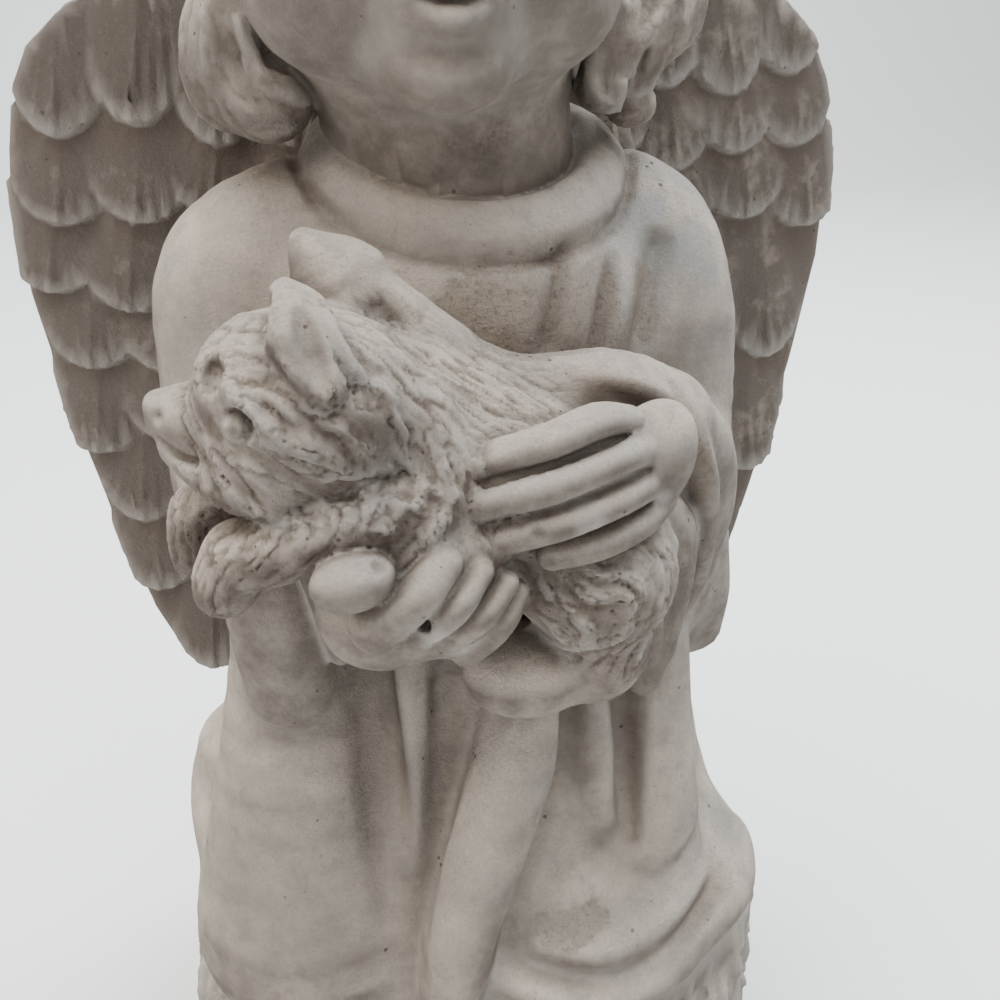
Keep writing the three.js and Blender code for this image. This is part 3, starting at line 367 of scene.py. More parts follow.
def build_head():
    k = at_head
    lump(4, k(0, 4, 4), [43, 47, 43])
    lump(10, k(0, -12, -24), [40.5, 33, 31])
    for s in (-1, 1):
        lump(9, k(22 * s, -27, -31), [16, 14, 15])
        ridge(7, k(28 * s, -34, 9, 3), k(15 * s, -43, 12, 3.4), k(6 * s, -44, 9, 2.5))
        dent(5, k(16 * s, -46, -1), [9, 6, 6.5])
        lump(1.5, k(16 * s, -35.5, -2), [8.2, 7, 6.4])
        ridge(2, k(24 * s, -37, -2, 1.3), k(16 * s, -42, 3.6, 1.7), k(8 * s, -42, -1, 1.3))
        ridge(2, k(23 * s, -38, -4, 1.2), k(16 * s, -41, -7.4, 1.3), k(9 * s, -42, -4, 1.2))
        lump(3, k(4.6 * s, -50, -21), [3.6, 4.2, 3.2])
    lump(9, k(0, -38, -46), [13, 11, 8.5])
    ridge(5, k(0, -42, 6, 3), k(0, -47, -8, 3.6), k(0, -51.5, -18, 5))
    # slightly open mouth with a full lower lip
    lump(6, k(0, -43, -34), [11.5, 8, 8])
    dent(2, k(0, -52, -33.4), [7, 5, 2.2])
    ridge(2, k(-9, -45.5, -32.5, 1.2), k(-3, -50.3, -29.6, 2), k(3, -50.3, -29.6, 2),
          k(9, -45.5, -32.5, 1.2))
    ridge(2.5, k(-7, -46, -35.5, 1.4), k(0, -49.6, -38.2, 3), k(7, -46, -35.5, 1.4))
    groove(4, k(-7, -49, -43, 1.5), k(0, -51, -44, 2), k(7, -49, -43, 1.5))


# ---- hair: a cap of rolled curls ----
# Rows of curls: degrees above the level, how many, and from where to where round the head.
CURL_ROWS = ((-38, 9, 112, 248), (-20, 11, 72, 288), (0, 12, 52, 308), (21, 12, 34, 326),
             (43, 11, 20, 340), (66, 6, 0, 300))


def curl(c, size, face, spin):
    """A rolled strand whose end turns into the middle."""
    out = Vector(face).normalized()
    side = Vector((0, 0, 1)).cross(out).normalized()
    up = out.cross(side)
    points = []
    for i in range(CURL_STEPS):
        a = math.radians(spin + i * CURL_TURN)
        r = size * (0.78 - i * 0.085)
        p = Vector(c) + side * r * math.cos(a) + up * r * math.sin(a) + out * i * size * 0.05
        points.append([*p, size * (0.42 - i * 0.025)])
    return strand(points, 3)


def build_hair():
    lump(3, at_head(0, 9, 7), [46, 46, 41])
    lump(6, at_head(0, 24, -16), [40, 28, 34])
    for rise, count, start, end in CURL_ROWS:
        for i in range(count):
            a = math.radians(start + (end - start) * i / (count - 1) - 90)
            e = math.radians(rise)
            d = (math.cos(a) * math.cos(e), math.sin(a) * math.cos(e), math.sin(e))
            size = 10.5 + 1.5 * math.sin(i * 2.3 + rise)
            root = at_head(d[0] * 44, 7 + d[1] * 45, 5 + d[2] * 40)
            join(curl(root, size, d, i * 77 + rise * 5), 2)
    join(curl(at_head(0, 6, 46), 12, (0, 0.001, 1), 20), 2)
    # large rolled curl beside the viewer-left cheek
    lump(3, [-51, -6, 304], [13, 14, 19], [0, 14, 0])
    lump(3, [-46, -12, 293], [11, 11, 9.5], [0, 20, 0])
    groove(1.5, [-53, -21, 304, 1.2], [-50.5, -23, 297, 1.8], [-48.5, -23, 290, 1.2])
    # smaller curls beside the viewer-right cheek
    ridge(3, [33, -14, 318, 7], [35, -17, 306, 7], [31, -17, 295, 5.5])
    ridge(3, [43, -8, 322, 8], [46, -12, 309, 7.5], [40, -15, 299, 5.5])
    lump(2, [41, -10, 291], [6.5, 6.5, 5.5])
    ridge(3, [54, -2, 322, 8], [53, -6, 310, 6.5], [47, -8, 303, 4.5])


# ---- wings ----
# Outer and inner edge of the wing, as reach from the middle plane at a height.
WING_EDGE = np.array([
    [116, 84, 74], [124, 91, 66], [140, 98, 56], [175, 107, 42], [208, 114, 32], [241, 119, 24],
    [271, 119, 18], [289, 115, 16], [304, 107, 18], [314, 95, 24], [324, 66, 44]])


def wing_at(z):
    return [np.interp(z, WING_EDGE[:, 0], WING_EDGE[:, n]).astype(np.float32) for n in (1, 2)]


def wing_backset(reach):
    """How far back the middle of the wing lies."""
    return 31 + 0.1 * (reach - 30)


def wing_outline(x, z, wing):
    """Distance in the plane of the wing from its outline, drawn in by the rounding."""
    side, lift, spread = wing
    reach = x * side / spread
    outer, inner = wing_at(z - lift)
    across = np.maximum((reach - outer) * 0.9 + 4, inner - reach)
    return across, np.maximum(z - lift - WING_TOP + 4, WING_TIP + 4 - z + lift)


# Rows of feathers from the bottom up: height of the tips, length, half width.
LEFT_ROWS = ((119, 50, 14), (146, 44, 14), (173, 36, 13), (197, 30, 13), (219, 29, 13),
             (240, 28, 13), (262, 28, 13), (284, 48, 13))
RIGHT_ROWS = ((119, 60, 15), (172, 50, 14), (214, 46, 14), (256, 29, 13), (276, 27, 12),
              (295, 38, 12))
# Each wing's side, lift and spread.
LEFT_WING, RIGHT_WING = (-1, 0, 0.975), (1, 3, 1.0)
WING_ROUNDING = 3.5
BARB_PITCH = 4.6


def build_wing(wing, rows):
    side, lift, spread = wing

    def slab(x, y, z):
        across, updown = wing_outline(x, z, wing)
        flat = np.abs(y - wing_backset(x * side / spread)) - WING_THICKNESS / 2 + 3
        a, b, c = np.maximum(across, 0), np.maximum(updown, 0), np.maximum(flat, 0)
        inside = np.minimum(np.maximum(np.maximum(across, updown), flat), 0)
        return np.minimum(np.sqrt(a * a + b * b + c * c) + inside - WING_ROUNDING, FAR)

    span = sorted((8 * side, 122 * side))
    join(([((span[0], 16, WING_TIP - 4), (span[1], 60, WING_TOP + 4), slab)], None), 4)
    for row, (tip, long, wide) in enumerate(rows):
        outer, inner = [float(v) for v in wing_at(tip + long * 0.25 - lift)]
        first = outer - wide * (0.55 if row % 2 else 0.95)
        count = int((first - max(inner, 30)) / (wide * 1.6)) + 1
        for i in range(count + 1):
            drop = 2.5 * math.sin(i * 2.2 + row * 1.7) - i * 1.2
            root = (first - i * wide * 1.6, tip + drop, long, wide, 0.1 + 0.012 * row)
            for face in (-1, 1):
                feather(wing, *root, face, i % 2)


def feather(wing, reach, tip, long, wide, lean, face, over):
    """A shingle: the root is tucked in, the rounded tip stands proud, barbs fan from the root."""
    side, _, spread = wing
    sin, cos = side * math.sin(lean), math.cos(lean)
    x0, z0 = side * reach * spread - sin * long, tip + cos * long

    def shingle(x, y, z):
        along = (x - x0) * sin - (z - z0) * cos
        u = (x - x0) * cos + (z - z0) * sin
        v = np.clip(along / long, 0, 1)
        end = np.maximum((along / long - 0.55) / 0.45, 0)
        outline = (np.sqrt((u / wide) ** 2 + end ** 2) - 1) * wide
        turns = np.arctan2(u, along + 0.35 * long) * (long * 1.35) / BARB_PITCH
        barbs = np.cos(turns * math.tau) * np.clip(v * 2 - 0.6, 0, 1)
        quill = np.exp(-(u / 0.9) ** 2)
        height = 0.5 + 3.1 * v + 0.6 * over - 2.2 * (u / wide) ** 2
        height += 0.4 * barbs + 0.4 * quill
        out = face * (y - wing_backset(x * side / spread)) - WING_THICKNESS / 2
        across, updown = wing_outline(x, z, wing)
        flat = np.maximum(np.maximum(outline, -along), np.maximum(across, updown) - 4.6)
        return np.minimum(np.maximum(flat * 0.8, np.maximum(out - height, -out - 4)), FAR)

    reach_x = wide + long * 0.35
    middle = x0 + sin * long / 2
    low = (middle - reach_x, 20, tip - 3)
    high = (middle + reach_x, 60, z0 + 1)
    join(([(low, high, shingle)], None), 0.5)


# ---- hands ----
# Chips and holes at the fingers: x, y, z, size.
CHIPS = ((-4, -96, 222.5, 1.7), (0, -97.5, 219.5, 1.3), (-22, -97.5, 203.5, 1.6),
         (-17.5, -96.5, 197, 1.5), (3, -93, 211, 1.6), (-30, -101.5, 218.5, 1.3),
         (10, -94.5, 221.5, 1.1))


def build_hands():
    # lower hand, fingers curled up round the puppy
    lump(3, [-27, -83, 200], [16, 13, 13.5], [0, -20, 0])
    lump(3, [-14, -82, 199], [14, 12, 12.5])
    lump(2, [-16, -89, 204], [11, 8, 10], [0, 35, 0])
    lump(0.8, [-35, -98.5, 214], [8.2, 6, 5.8], [0, -12, 0])
    ridge(0.6, [-18, -97, 215.5, 4], [-23, -99, 210, 4.6], [-31, -95, 202, 5.4])
    ridge(0.4, [-11, -96, 212.5, 3], [-16, -98.5, 206.5, 3.3], [-23, -93, 198.5, 4])
    ridge(0.4, [-5.5, -94, 208.5, 2.8], [-11, -96, 202.5, 3.1], [-17.5, -90, 195, 4])
    ridge(0.4, [-2.5, -89, 203.5, 2.9], [-6, -91, 197.5, 3.1], [-12, -86, 190, 4.4])
    groove(0.8, [-14.5, -100, 213, 0.7], [-20, -101, 207.4, 1], [-25, -99, 202, 0.6])
    groove(0.8, [-8.2, -98, 210.5, 0.7], [-14, -98.5, 204.4, 1], [-20, -96, 198, 0.6])
    groove(0.8, [-3.8, -94.5, 205.5, 0.7], [-9, -94.5, 199.5, 1], [-14.4, -91.5, 193.5, 0.6])
    # upper hand, four straight fingers laid across the flank
    lump(1.5, [27, -79, 225.5], [10, 9, 14], [0, 24, 30])
    lump(2, [10, -83, 225], [18, 8, 12], [0, -16, 6])
    lump(2, [22, -81, 230], [8, 6.5, 7])
    ridge(0.4, [-6, -90, 233, 3.9], [3, -92, 236, 4], [13, -89, 238.5, 4], [21, -83, 236, 3.6])
    ridge(0.4, [-9, -92, 225.3, 4.2], [3, -94.5, 229, 4.3], [16, -90.5, 231.5, 4.3],
          [24, -84, 230.5, 4])
    ridge(0.4, [-6, -91.5, 217.3, 3.9], [6, -93.5, 221, 4.1], [18, -90, 223.5, 4.2],
          [27, -83, 223.5, 4])
    ridge(0.4, [5, -89, 211.3, 3.4], [14, -90, 213.5, 3.7], [23, -87, 216, 3.9], [30, -80, 217.5, 3.8])
    groove(0.6, [-9, -93, 229.2, 1.2], [3, -95, 232.8, 1.2], [14, -92, 235.3, 1.2], [20, -88, 235, 0.6])
    groove(0.6, [-9, -94.5, 221.2, 1.3], [5, -96, 225.2, 1.3], [18, -92.5, 227.8, 1.2],
           [25, -87.5, 227.5, 0.6])
    groove(0.6, [-3, -92.5, 213.8, 1.2], [8, -93.8, 217.1, 1.2], [20, -90.5, 219.8, 1.2],
           [27, -85, 221, 0.6])
    for x, y, z, size in CHIPS:
        dent(0.4, [x, y, z], [size * 1.4, size * 1.2, size], [0, 30, 0])


# ---- puppy ----
def build_puppy():
    # body, thigh and the flat lower lobe
    ridge(6, [-22, -66, 234, 20], [-2, -66, 221, 20.5], [12, -68, 206, 19])
    lump(4, [19, -73, 198], [18, 18, 18], [0, 20, 0])
    lump(4, [5, -71, 173], [16, 13, 10.5], [0, -6, 0])
    lump(4, [21, -73, 179], [11, 12, 14], [0, 20, 0])
    lump(4, [-4, -79, 222], [18, 14, 13])
    lump(3, [-14, -85, 215], [13, 12, 9])
    lump(3, [-13, -84, 227], [9, 9, 12])
    lump(3, [-26, -90, 216], [9, 6.5, 7])
    ridge(5, [-18, -62, 244, 9], [2, -60, 236, 8], [20, -60, 236, 7])
    # head
    lump(4, [-39, -78, 242], [21, 20, 18.5], [0, 12, 0])
    lump(4, [-49, -78, 246], [12.5, 14, 13])
    lump(4, [-47, -83, 232], [14, 11, 9.5], [0, 12, 0])
    ridge(3, [-54, -78, 238, 9], [-62, -75, 239, 7.4], [-65.5, -73.5, 239.5, 6], pieces=3)
    lump(1, [-69, -73.5, 242], [2.6, 4, 2.8])
    ridge(2, [-66, -76.5, 234, 3.4], [-61.5, -82, 231.5, 3.6], [-56, -87.5, 229, 3.8],
          [-48, -90, 227, 4])
    # brow
    ridge(1.5, [-56, -88, 252.5, 1], [-54, -91, 250.5, 1.8], [-51, -94.5, 247, 2.2],
          [-47, -96.5, 243, 1.8])
    # fringe of fur hanging over the cheek
    ridge(1.5, [-50.5, -94.5, 241.5, 1.4], [-46, -96.5, 241, 1.8], [-40, -97, 238.8, 2],
          [-34, -95, 235, 1.8])
    groove(0.8, [-54, -93, 240.2, 0.8], [-50.5, -95.5, 239.2, 1.1], [-46, -97.5, 238.8, 1.1],
           [-41, -98, 236.8, 1], [-34, -96, 232.8, 0.9], [-28.5, -93, 230.5, 0.6])
    # near ear: a pointed flap lying back against the head, its face smooth and hollow
    ridge(1, [-43.5, -85, 264, 3], [-41, -91, 257.5, 6], [-38, -95, 250.5, 4.5])
    ridge(0.8, [-43, -84.5, 265.5, 2], [-38.5, -86, 263, 2.2], [-36, -91.5, 259, 2.2],
          [-33, -94, 252.5, 1.8], pieces=3)
    groove(0.8, [-40.8, -92.5, 264, 1.4], [-39.6, -97, 260, 2.6], [-38.8, -98.6, 257, 2.8],
           [-37.6, -100.4, 252.5, 2.2])
    ridge(0.6, [-43.4, -86.5, 264.5, 1.3], [-43.8, -91.5, 261, 1.4], [-43.4, -95, 257, 1.4],
          [-42.5, -96, 253, 1], pieces=3)
    dent(0.8, [-46.8, -86.5, 262.5], [1.5, 2.4, 3.6], [-10, 10, 0])
    # far ear: broad and blunt, its back edge running down to the neck
    ridge(2, [-34, -66, 258, 8], [-37.5, -65.5, 266, 5], [-39.5, -65.5, 270, 2.6], pieces=3)
    ridge(1.5, [-39, -65, 270, 2.4], [-32, -65, 268.5, 2.6], [-27, -65, 266, 2.6], pieces=3)
    ridge(3, [-31, -65, 264, 5], [-24, -65, 257, 6], [-14, -64, 246, 8], pieces=3)
    # ruff, forelegs and paws
    ridge(3, [-20, -84, 240, 7], [-17, -88, 230, 7], [-20, -91, 222, 6.5], pieces=3)
    ridge(1.2, [-18, -88, 227, 6.5], [-29, -91, 224, 6.8], [-39, -90.5, 220.5, 7], [-48, -88, 217, 7.2],
          [-56, -84, 214, 7.4])
    lump(1.5, [-58.5, -84, 209.5], [7, 7, 8.6], [0, 26, 0])
    ridge(1.5, [-54, -70, 224, 6.5], [-64, -70, 218, 6.2], [-66, -70, 209, 5.4])
    for x, y, z in ((-65, -88.5, 208), (-60.5, -91.5, 206.5), (-56, -91.5, 204)):
        groove(0.8, [x, y, z + 5, 0.7], [x - 0.5, y, z - 4, 1.1])
    for x, y, z in ((-70.5, -75, 214), (-66.5, -77.5, 212)):
        groove(0.8, [x + 1, y, z + 6, 0.6], [x, y, z - 5, 1.1])
    # tail and far hind leg
    ridge(3, [30, -68, 212, 7], [38, -63, 202, 7], [40, -60, 188, 7], [38, -60, 170, 6])
    groove(2, [37, -76, 203, 0.8], [36, -76, 192, 1.5], [32, -76, 180, 1.5], [29, -74, 170, 1])
    ridge(3, [33, -60, 182, 7], [36, -60, 168, 6], [36, -60, 160, 5])


# ---- locks of fur and hair ----
def to_surface(points, rounds=6):
    """Move points along the field's slope to where it is zero."""
    for _ in range(rounds):
        points = points - gradient(points) * sample(points)[:, None]
    return points


def seeds_in(low, high, spacing):
    """Points on the surface inside a box, about this far apart."""
    low, high = np.array(low, float), np.array(high, float)
    size = high - low
    count = int(size[0] * size[2] / spacing ** 2 * 5) + 20
    tries = to_surface(low + random.random((count, 3)) * size)
    tries = tries[np.all((tries > low) & (tries < high), axis=1) & (np.abs(sample(tries)) < 0.4)]
    kept = np.empty((0, 3))
    for p in tries:
        if not len(kept) or np.min(((kept - p) ** 2).sum(axis=1)) > spacing ** 2:
            kept = np.vstack([kept, p])
    return kept


def flow_of(points, guides):
    """Direction of the fur, blended from guides (place, direction, reach)."""
    total = np.zeros((len(points), 3))
    for place, direction, reach in guides:
        weight = np.exp(-((points - place) ** 2).sum(axis=1) / (2 * reach ** 2)) + 1e-9
        d = np.array(direction, float)
        total += weight[:, None] * d / np.linalg.norm(d)
    return unit(total)


def strokes(roots, guides, length, scale, sway):
    """Paths that follow the fur over the surface, with the outward direction at each point."""
    steps = 4
    path, p = [], roots.copy()
    for i in range(steps + 1):
        n = gradient(p)
        path.append((p, n))
        d = flow_of(p, guides)
        d = d + np.cross(n, d) * (sway * math.cos(i * 1.3))[:, None] * 2
        d = d - n * (d * n).sum(axis=1, keepdims=True)
        p = to_surface(p + unit(d) * (length * scale / steps)[:, None], 2)
    return path


def comb(roots, guides, length, radius, lift=0.5, wave=0.4, k=0.6):
    """Lay short tapering locks on the surface, each raised at its tip."""
    scale = 0.7 + 0.6 * random.random(len(roots))
    locks = strokes(roots, guides, length, scale, (random.random(len(roots)) - 0.5) * wave)
    for i in range(len(roots)):
        row = []
        for step, (p, n) in enumerate(locks):
            t = step / (len(locks) - 1)
            place = p[i] + n[i] * (lift * (t * 2 - 1) - radius * (1 - t) * 0.55 - radius * 0.2)
            row.append([*place, radius * scale[i] * (0.8 + 0.5 * t - 0.8 * t ** 4)])
        join(([limb(a, b) for a, b in zip(row, row[1:])], None), k)


# Guides (place, direction, reach) of the puppy's fur and of the hair at the temples.
FUR_HEAD = [((-57, -85, 255), (0.85, -0.4, 0.1), 5), ((-50, -92, 251), (0.85, -0.2, -0.45), 6),
            ((-41, -97, 247), (0.75, 0, -0.65), 7), ((-32, -94, 252), (0.5, 0, -0.85), 7),
            ((-29, -93, 242), (0.55, 0, -0.85), 7), ((-46, -97, 242), (0.9, 0, -0.4), 5),
            ((-38, -96, 232), (0.97, 0, -0.2), 6), ((-51, -93, 233), (0.85, -0.3, -0.45), 6),
            ((-40, -94, 226), (0.97, 0, 0.2), 5), ((-62, -80, 240), (0.6, -0.3, -0.75), 5),
            ((-24, -84, 250), (0.7, 0, -0.75), 8), ((-62, -82, 231), (0.7, -0.5, -0.4), 4)]
FUR_BODY = [((-18, -90, 232), (0.35, 0, -0.95), 8), ((0, -86, 238), (0.85, 0, -0.5), 10),
            ((8, -84, 216), (0.7, 0, -0.7), 10), ((-26, -94, 236), (0.5, 0, -0.8), 5)]
FUR_LEG = [((-26, -97, 225), (-0.6, 0, -0.8), 8), ((-36, -98, 221), (-0.7, 0, -0.7), 10),
           ((-50, -92, 216), (-0.7, 0, -0.7), 10), ((-60, -90, 206), (-0.2, 0, -1), 6),
           ((-68, -72, 214), (0, 0, -1), 5)]
FUR_THIGH = [((8, -87, 208), (0.1, 0, -1), 5), ((10, -88, 196), (0.9, 0, -0.3), 5),
             ((17, -90, 202), (0.8, 0, 0.5), 4), ((21, -90, 206), (0.7, 0, -0.7), 4),
             ((27, -88, 197), (-0.2, 0, -1), 6), ((18, -88, 189), (-0.8, 0, -0.6), 6),
             ((36, -70, 200), (0.4, 0, -0.9), 8), ((40, -66, 182), (-0.1, 0, -1), 8),
             ((27, -82, 184), (-0.2, 0, -1), 5)]
FUR = FUR_HEAD + FUR_BODY + FUR_LEG + FUR_THIGH
HAIR = [((-52, -16, 320), (0.15, 0, -1), 12), ((-56, -10, 302), (0.2, 0, -1), 10),
        ((-46, -18, 290), (0.9, 0, -0.2), 6), ((-44, 10, 300), (0, 0.4, -1), 14),
        ((46, -14, 322), (-0.3, 0, -1), 12), ((42, -16, 300), (-0.3, 0, -1), 10),
        ((52, -4, 306), (-0.6, 0, -0.8), 8), ((40, 10, 300), (0, 0.4, -1), 14)]


def fur_puppy():
    """Soft tufts; the fine grooves are brushed into the mesh later."""
    comb(seeds_in((-62, -104, 222), (-18, -76, 260), 5), FUR_HEAD, 9, 1.1, 0.25)
    comb(seeds_in((-18, -100, 222), (20, -74, 240), 5), FUR_BODY, 10, 1.3, 0.3)
    comb(seeds_in((-28, -102, 214), (-10, -70, 238), 5), FUR_LEG, 9, 1.2, 0.3)
    comb(seeds_in((2, -100, 188), (33, -54, 213), 4.5), FUR_THIGH, 10, 1.4, 0.35)


def carve_muzzle():
    """Mouth, nostril and the round eyes, cut after the fur."""
    groove(0.8, [-69.5, -78, 237.2, 0.7], [-65.5, -81, 234.8, 0.8], [-61, -84.5, 234, 0.6])
    dent(0.6, [-68.5, -79.2, 241.5], [1.2, 1.6, 1])
    # eyes in round sockets under a heavy brow
    dent(0.6, [-53.8, -95.5, 244], [4, 5, 3.7])
    dent(0.8, [-56, -93.5, 247], [1.3, 2.6, 2.6], [0, 20, 0])
    lump(0.2, [-53.2, -91.8, 243.2], [2.5, 2.6, 2.4])
    dent(0.3, [-53.8, -94.4, 243.2], [0.8, 1.2, 0.8])
    dent(0.8, [-57.4, -88.5, 251.5], [2.4, 4, 3.6], [0, 20, 0])


def locks_of_hair():
    """Slits and thin locks in the curls beside the cheeks."""
    # rolled lobe beside the viewer-left cheek, with a slit in its middle
    groove(1, [-52, -21, 306, 0.9], [-51.3, -21.5, 301.5, 1.8], [-50.4, -22.5, 296, 1.7],
           [-49.2, -22.8, 291, 0.9], pieces=3)
    ridge(1, [-54, -16, 314, 2.2], [-56, -17, 308, 2.4], [-56.6, -17, 302, 2.4],
          [-55.5, -17.5, 296.5, 2.4], [-52, -19.5, 292.5, 2.2], [-47, -20.5, 289.5, 2.4],
          [-41, -19, 288, 2])
    ridge(1, [-49, -20, 309, 1.6], [-47.5, -20.5, 303, 2], [-45.5, -22, 298, 2.4],
          [-40.5, -21.5, 296, 2.4], [-37, -18, 293, 1.8])
    groove(1, [-47, -23.5, 293.5, 0.8], [-42.5, -23, 291.5, 1], [-38, -20, 290, 0.7], pieces=3)
    # ring and beads of hair beside the viewer-right cheek
    ridge(0.8, [34, -22, 312, 2.4], [29.5, -21, 306, 2.4], [28, -21, 299, 2.2], [29.5, -22, 293, 2.2],
          [33.5, -22.5, 291.5, 2], [34.5, -23, 296, 1.8])
    dent(0.8, [31.8, -24.5, 299.5], [1.5, 2.2, 3.2], [0, 10, 0])
    ridge(0.8, [50, -16, 318, 2.6], [44.5, -19, 311, 2.8], [38.5, -22, 305, 2.4], [36.5, -22, 299, 2])
    ridge(0.8, [52, -12, 312, 2.4], [48, -15, 305, 2.4], [44, -17, 299, 2], [43, -17, 295, 1.6])
    groove(0.8, [41, -20.5, 303, 0.9], [39.5, -20.5, 298, 1], [40, -19, 295, 0.7], pieces=3)
    dent(0.6, [33.5, -19.5, 289.5], [1.2, 2.4, 1.4])


def rough_foot():
    """Short upright tufts, like coarse grass, all round the foot."""
    down = [((0, 0, 40), (0, 0, -1), 200)]
    comb(seeds_in((-100, -100, 10), (100, 90, 64), 6), down, 13, 2.1, 0.9, 0.5, 1.2)


# ---- field to mesh ----
CORNERS = list(itertools.product((0, 1), repeat=3))


def shares(part):
    """The corners of a cell, each with its share at a place inside the cell."""
    for corner in CORNERS:
        w = 1.0
        for far, t in zip(corner, part):
            w = w * (t if far else 1 - t)
        yield corner, w


def unit(vectors):
    """Vectors of length 1 along these."""
    return vectors / np.maximum(np.linalg.norm(vectors, axis=1, keepdims=True), 1e-9)


def sample(points, grid=None):
    """Field values at points, by straight interpolation."""
    grid = F if grid is None else grid
    cell, part = [], []
    for axis, p in zip(AXES, points.T):
        i = np.clip(np.searchsorted(axis, p) - 1, 0, len(axis) - 2)
        cell.append(i)
        part.append(np.clip((p - axis[i]) / (axis[i + 1] - axis[i]), 0, 1))
    out = np.zeros(len(points))
    for (dx, dy, dz), w in shares(part):
        out += w * grid[cell[0] + dx, cell[1] + dy, cell[2] + dz]
    return out


def gradient(points, step=0.8):
    """Outward direction of the field."""
    g = np.zeros((len(points), 3))
    for axis in range(3):
        e = np.zeros(3)
        e[axis] = step
        g[:, axis] = sample(points + e) - sample(points - e)
    return unit(g)


def surface_net():
    """A vertex in each grid cell that the surface crosses, and a quad across each crossed edge."""
    np.maximum(F, -GZ[None, None, :], out=F)
    inside = F < 0
    total = np.zeros([n - 1 for n in F.shape], np.uint8)
    for corner in CORNERS:
        total += inside[tuple(slice(a, n - 1 + a) for a, n in zip(corner, F.shape))]
    cells = np.argwhere((total > 0) & (total < 8))
    ids = np.full(total.shape, -1, np.int32)
    ids[tuple(cells.T)] = np.arange(len(cells))
    place = np.zeros((len(cells), 3))
    count = np.zeros(len(cells))
    for a in CORNERS:
        for axis in range(3):
            if a[axis]:
                continue
            b = list(a)
            b[axis] = 1
            ia, ib = cells + a, cells + b
            fa, fb = F[tuple(ia.T)], F[tuple(ib.T)]
            hit = (fa < 0) != (fb < 0)
            t = fa[hit] / (fa[hit] - fb[hit])
            for n in range(3):
                pa, pb = AXES[n][ia[hit, n]], AXES[n][ib[hit, n]]
                place[hit, n] += pa + (pb - pa) * t
            count[hit] += 1
    place /= count[:, None]
    quads = []
    for axis in range(3):
        u, v = (axis + 1) % 3, (axis + 2) % 3
        edge = np.argwhere(np.diff(inside, axis=axis))
        keep = (edge[:, u] > 0) & (edge[:, u] < F.shape[u] - 1)
        keep &= (edge[:, v] > 0) & (edge[:, v] < F.shape[v] - 1)
        edge = edge[keep]
        ring = []
        for du, dv in ((0, 0), (-1, 0), (-1, -1), (0, -1)):
            cell = edge.copy()
            cell[:, u] += du
            cell[:, v] += dv
            ring.append(ids[tuple(cell.T)])
        quad = np.stack(ring, axis=1)
        flip = ~inside[tuple(edge.T)]
        quad[flip] = quad[flip][:, ::-1]
        quads.append(quad)
    return place, np.vstack(quads)


def grain(points, cell):
    """Smooth random values in space, with lumps about this far apart."""
    q = points / cell
    i = np.floor(q).astype(int)
    t = q - i
    t = t * t * (3 - 2 * t)
    out = np.zeros(len(points))
    for corner, w in shares(t.T):
        x, y, z = ((i + corner) % PERIOD).T
        out += w * LATTICE[x, y, z]
    return out


def outward(place, quads):
    """Soft outward direction at each vertex of a mesh of quads."""
    a, b, c, d = place[quads.T]
    faces = np.cross(c - a, d - b)
    for _ in range(3):
        n = [np.bincount(quads.ravel(), np.repeat(f, 4), len(place)) for f in faces.T]
        n = unit(np.stack(n, axis=1))
        faces = n[quads].sum(axis=1)
    return n


STROKE_STEPS = 8


def brush(place, n, amount, guides, depth, cell, length, wide=0.7):
    """Sink fine grooves into the vertices, running along the fur, as deep as amount says."""
    near = np.zeros(len(place))
    for centre, _, reach in guides:
        off = ((place - centre) ** 2).sum(axis=1)
        near = np.maximum(near, np.exp(-off / (3.4 * reach ** 2)))
    amount = amount * np.clip((near - 0.15) * 3.5, 0, 1)
    chosen = amount > 0.01
    points, n = place[chosen], n[chosen]
    total = grain(points, cell)
    for way in (-1, 1):
        p = points
        for _ in range(STROKE_STEPS):
            d = flow_of(p, guides)
            d -= n * (d * n).sum(axis=1, keepdims=True)
            p = p + d * (way * length / (2 * STROKE_STEPS))
            total += grain(p, cell)
    sunk = depth * amount[chosen] * np.maximum(1 - np.abs(total / total.std()) / wide, 0)
    place[chosen] -= n * sunk[:, None]


def add_object(name, data):
    piece = bpy.data.objects.new(name, data)
    bpy.context.scene.collection.objects.link(piece)
    return piece


def make_mesh(name, place, quads):
    mesh = bpy.data.meshes.new(name)
    mesh.vertices.add(len(place))
    mesh.vertices.foreach_set("co", place.astype(np.float32).ravel())
    mesh.loops.add(quads.size)
    mesh.loops.foreach_set("vertex_index", quads.astype(np.int32).ravel())
    mesh.polygons.add(len(quads))
    mesh.polygons.foreach_set("loop_start", np.arange(0, quads.size, 4, dtype=np.int32))
    mesh.update(calc_edges=True)
    mesh.validate()
    return add_object(name, mesh)


def thin(piece, triangles, spared=None):
    """Collapse edges until the piece has this many triangles, sparing some of its vertices."""
    tool = piece.modifiers.new("thin", "DECIMATE")
    have = len(piece.data.loops) - 2 * len(piece.data.polygons)
    tool.ratio = min(1.0, triangles / have)
    if spared is not None:
        group = piece.vertex_groups.new(name="spared")
        group.add([int(i) for i in np.flatnonzero(spared)], 1.0, "REPLACE")
        tool.vertex_group = "spared"
        tool.invert_vertex_group = True
    graph = bpy.context.evaluated_depsgraph_get()
    mesh = bpy.data.meshes.new_from_object(piece.evaluated_get(graph))
    piece.modifiers.clear()
    piece.vertex_groups.clear()
    old = piece.data
    piece.data = mesh
    bpy.data.meshes.remove(old)


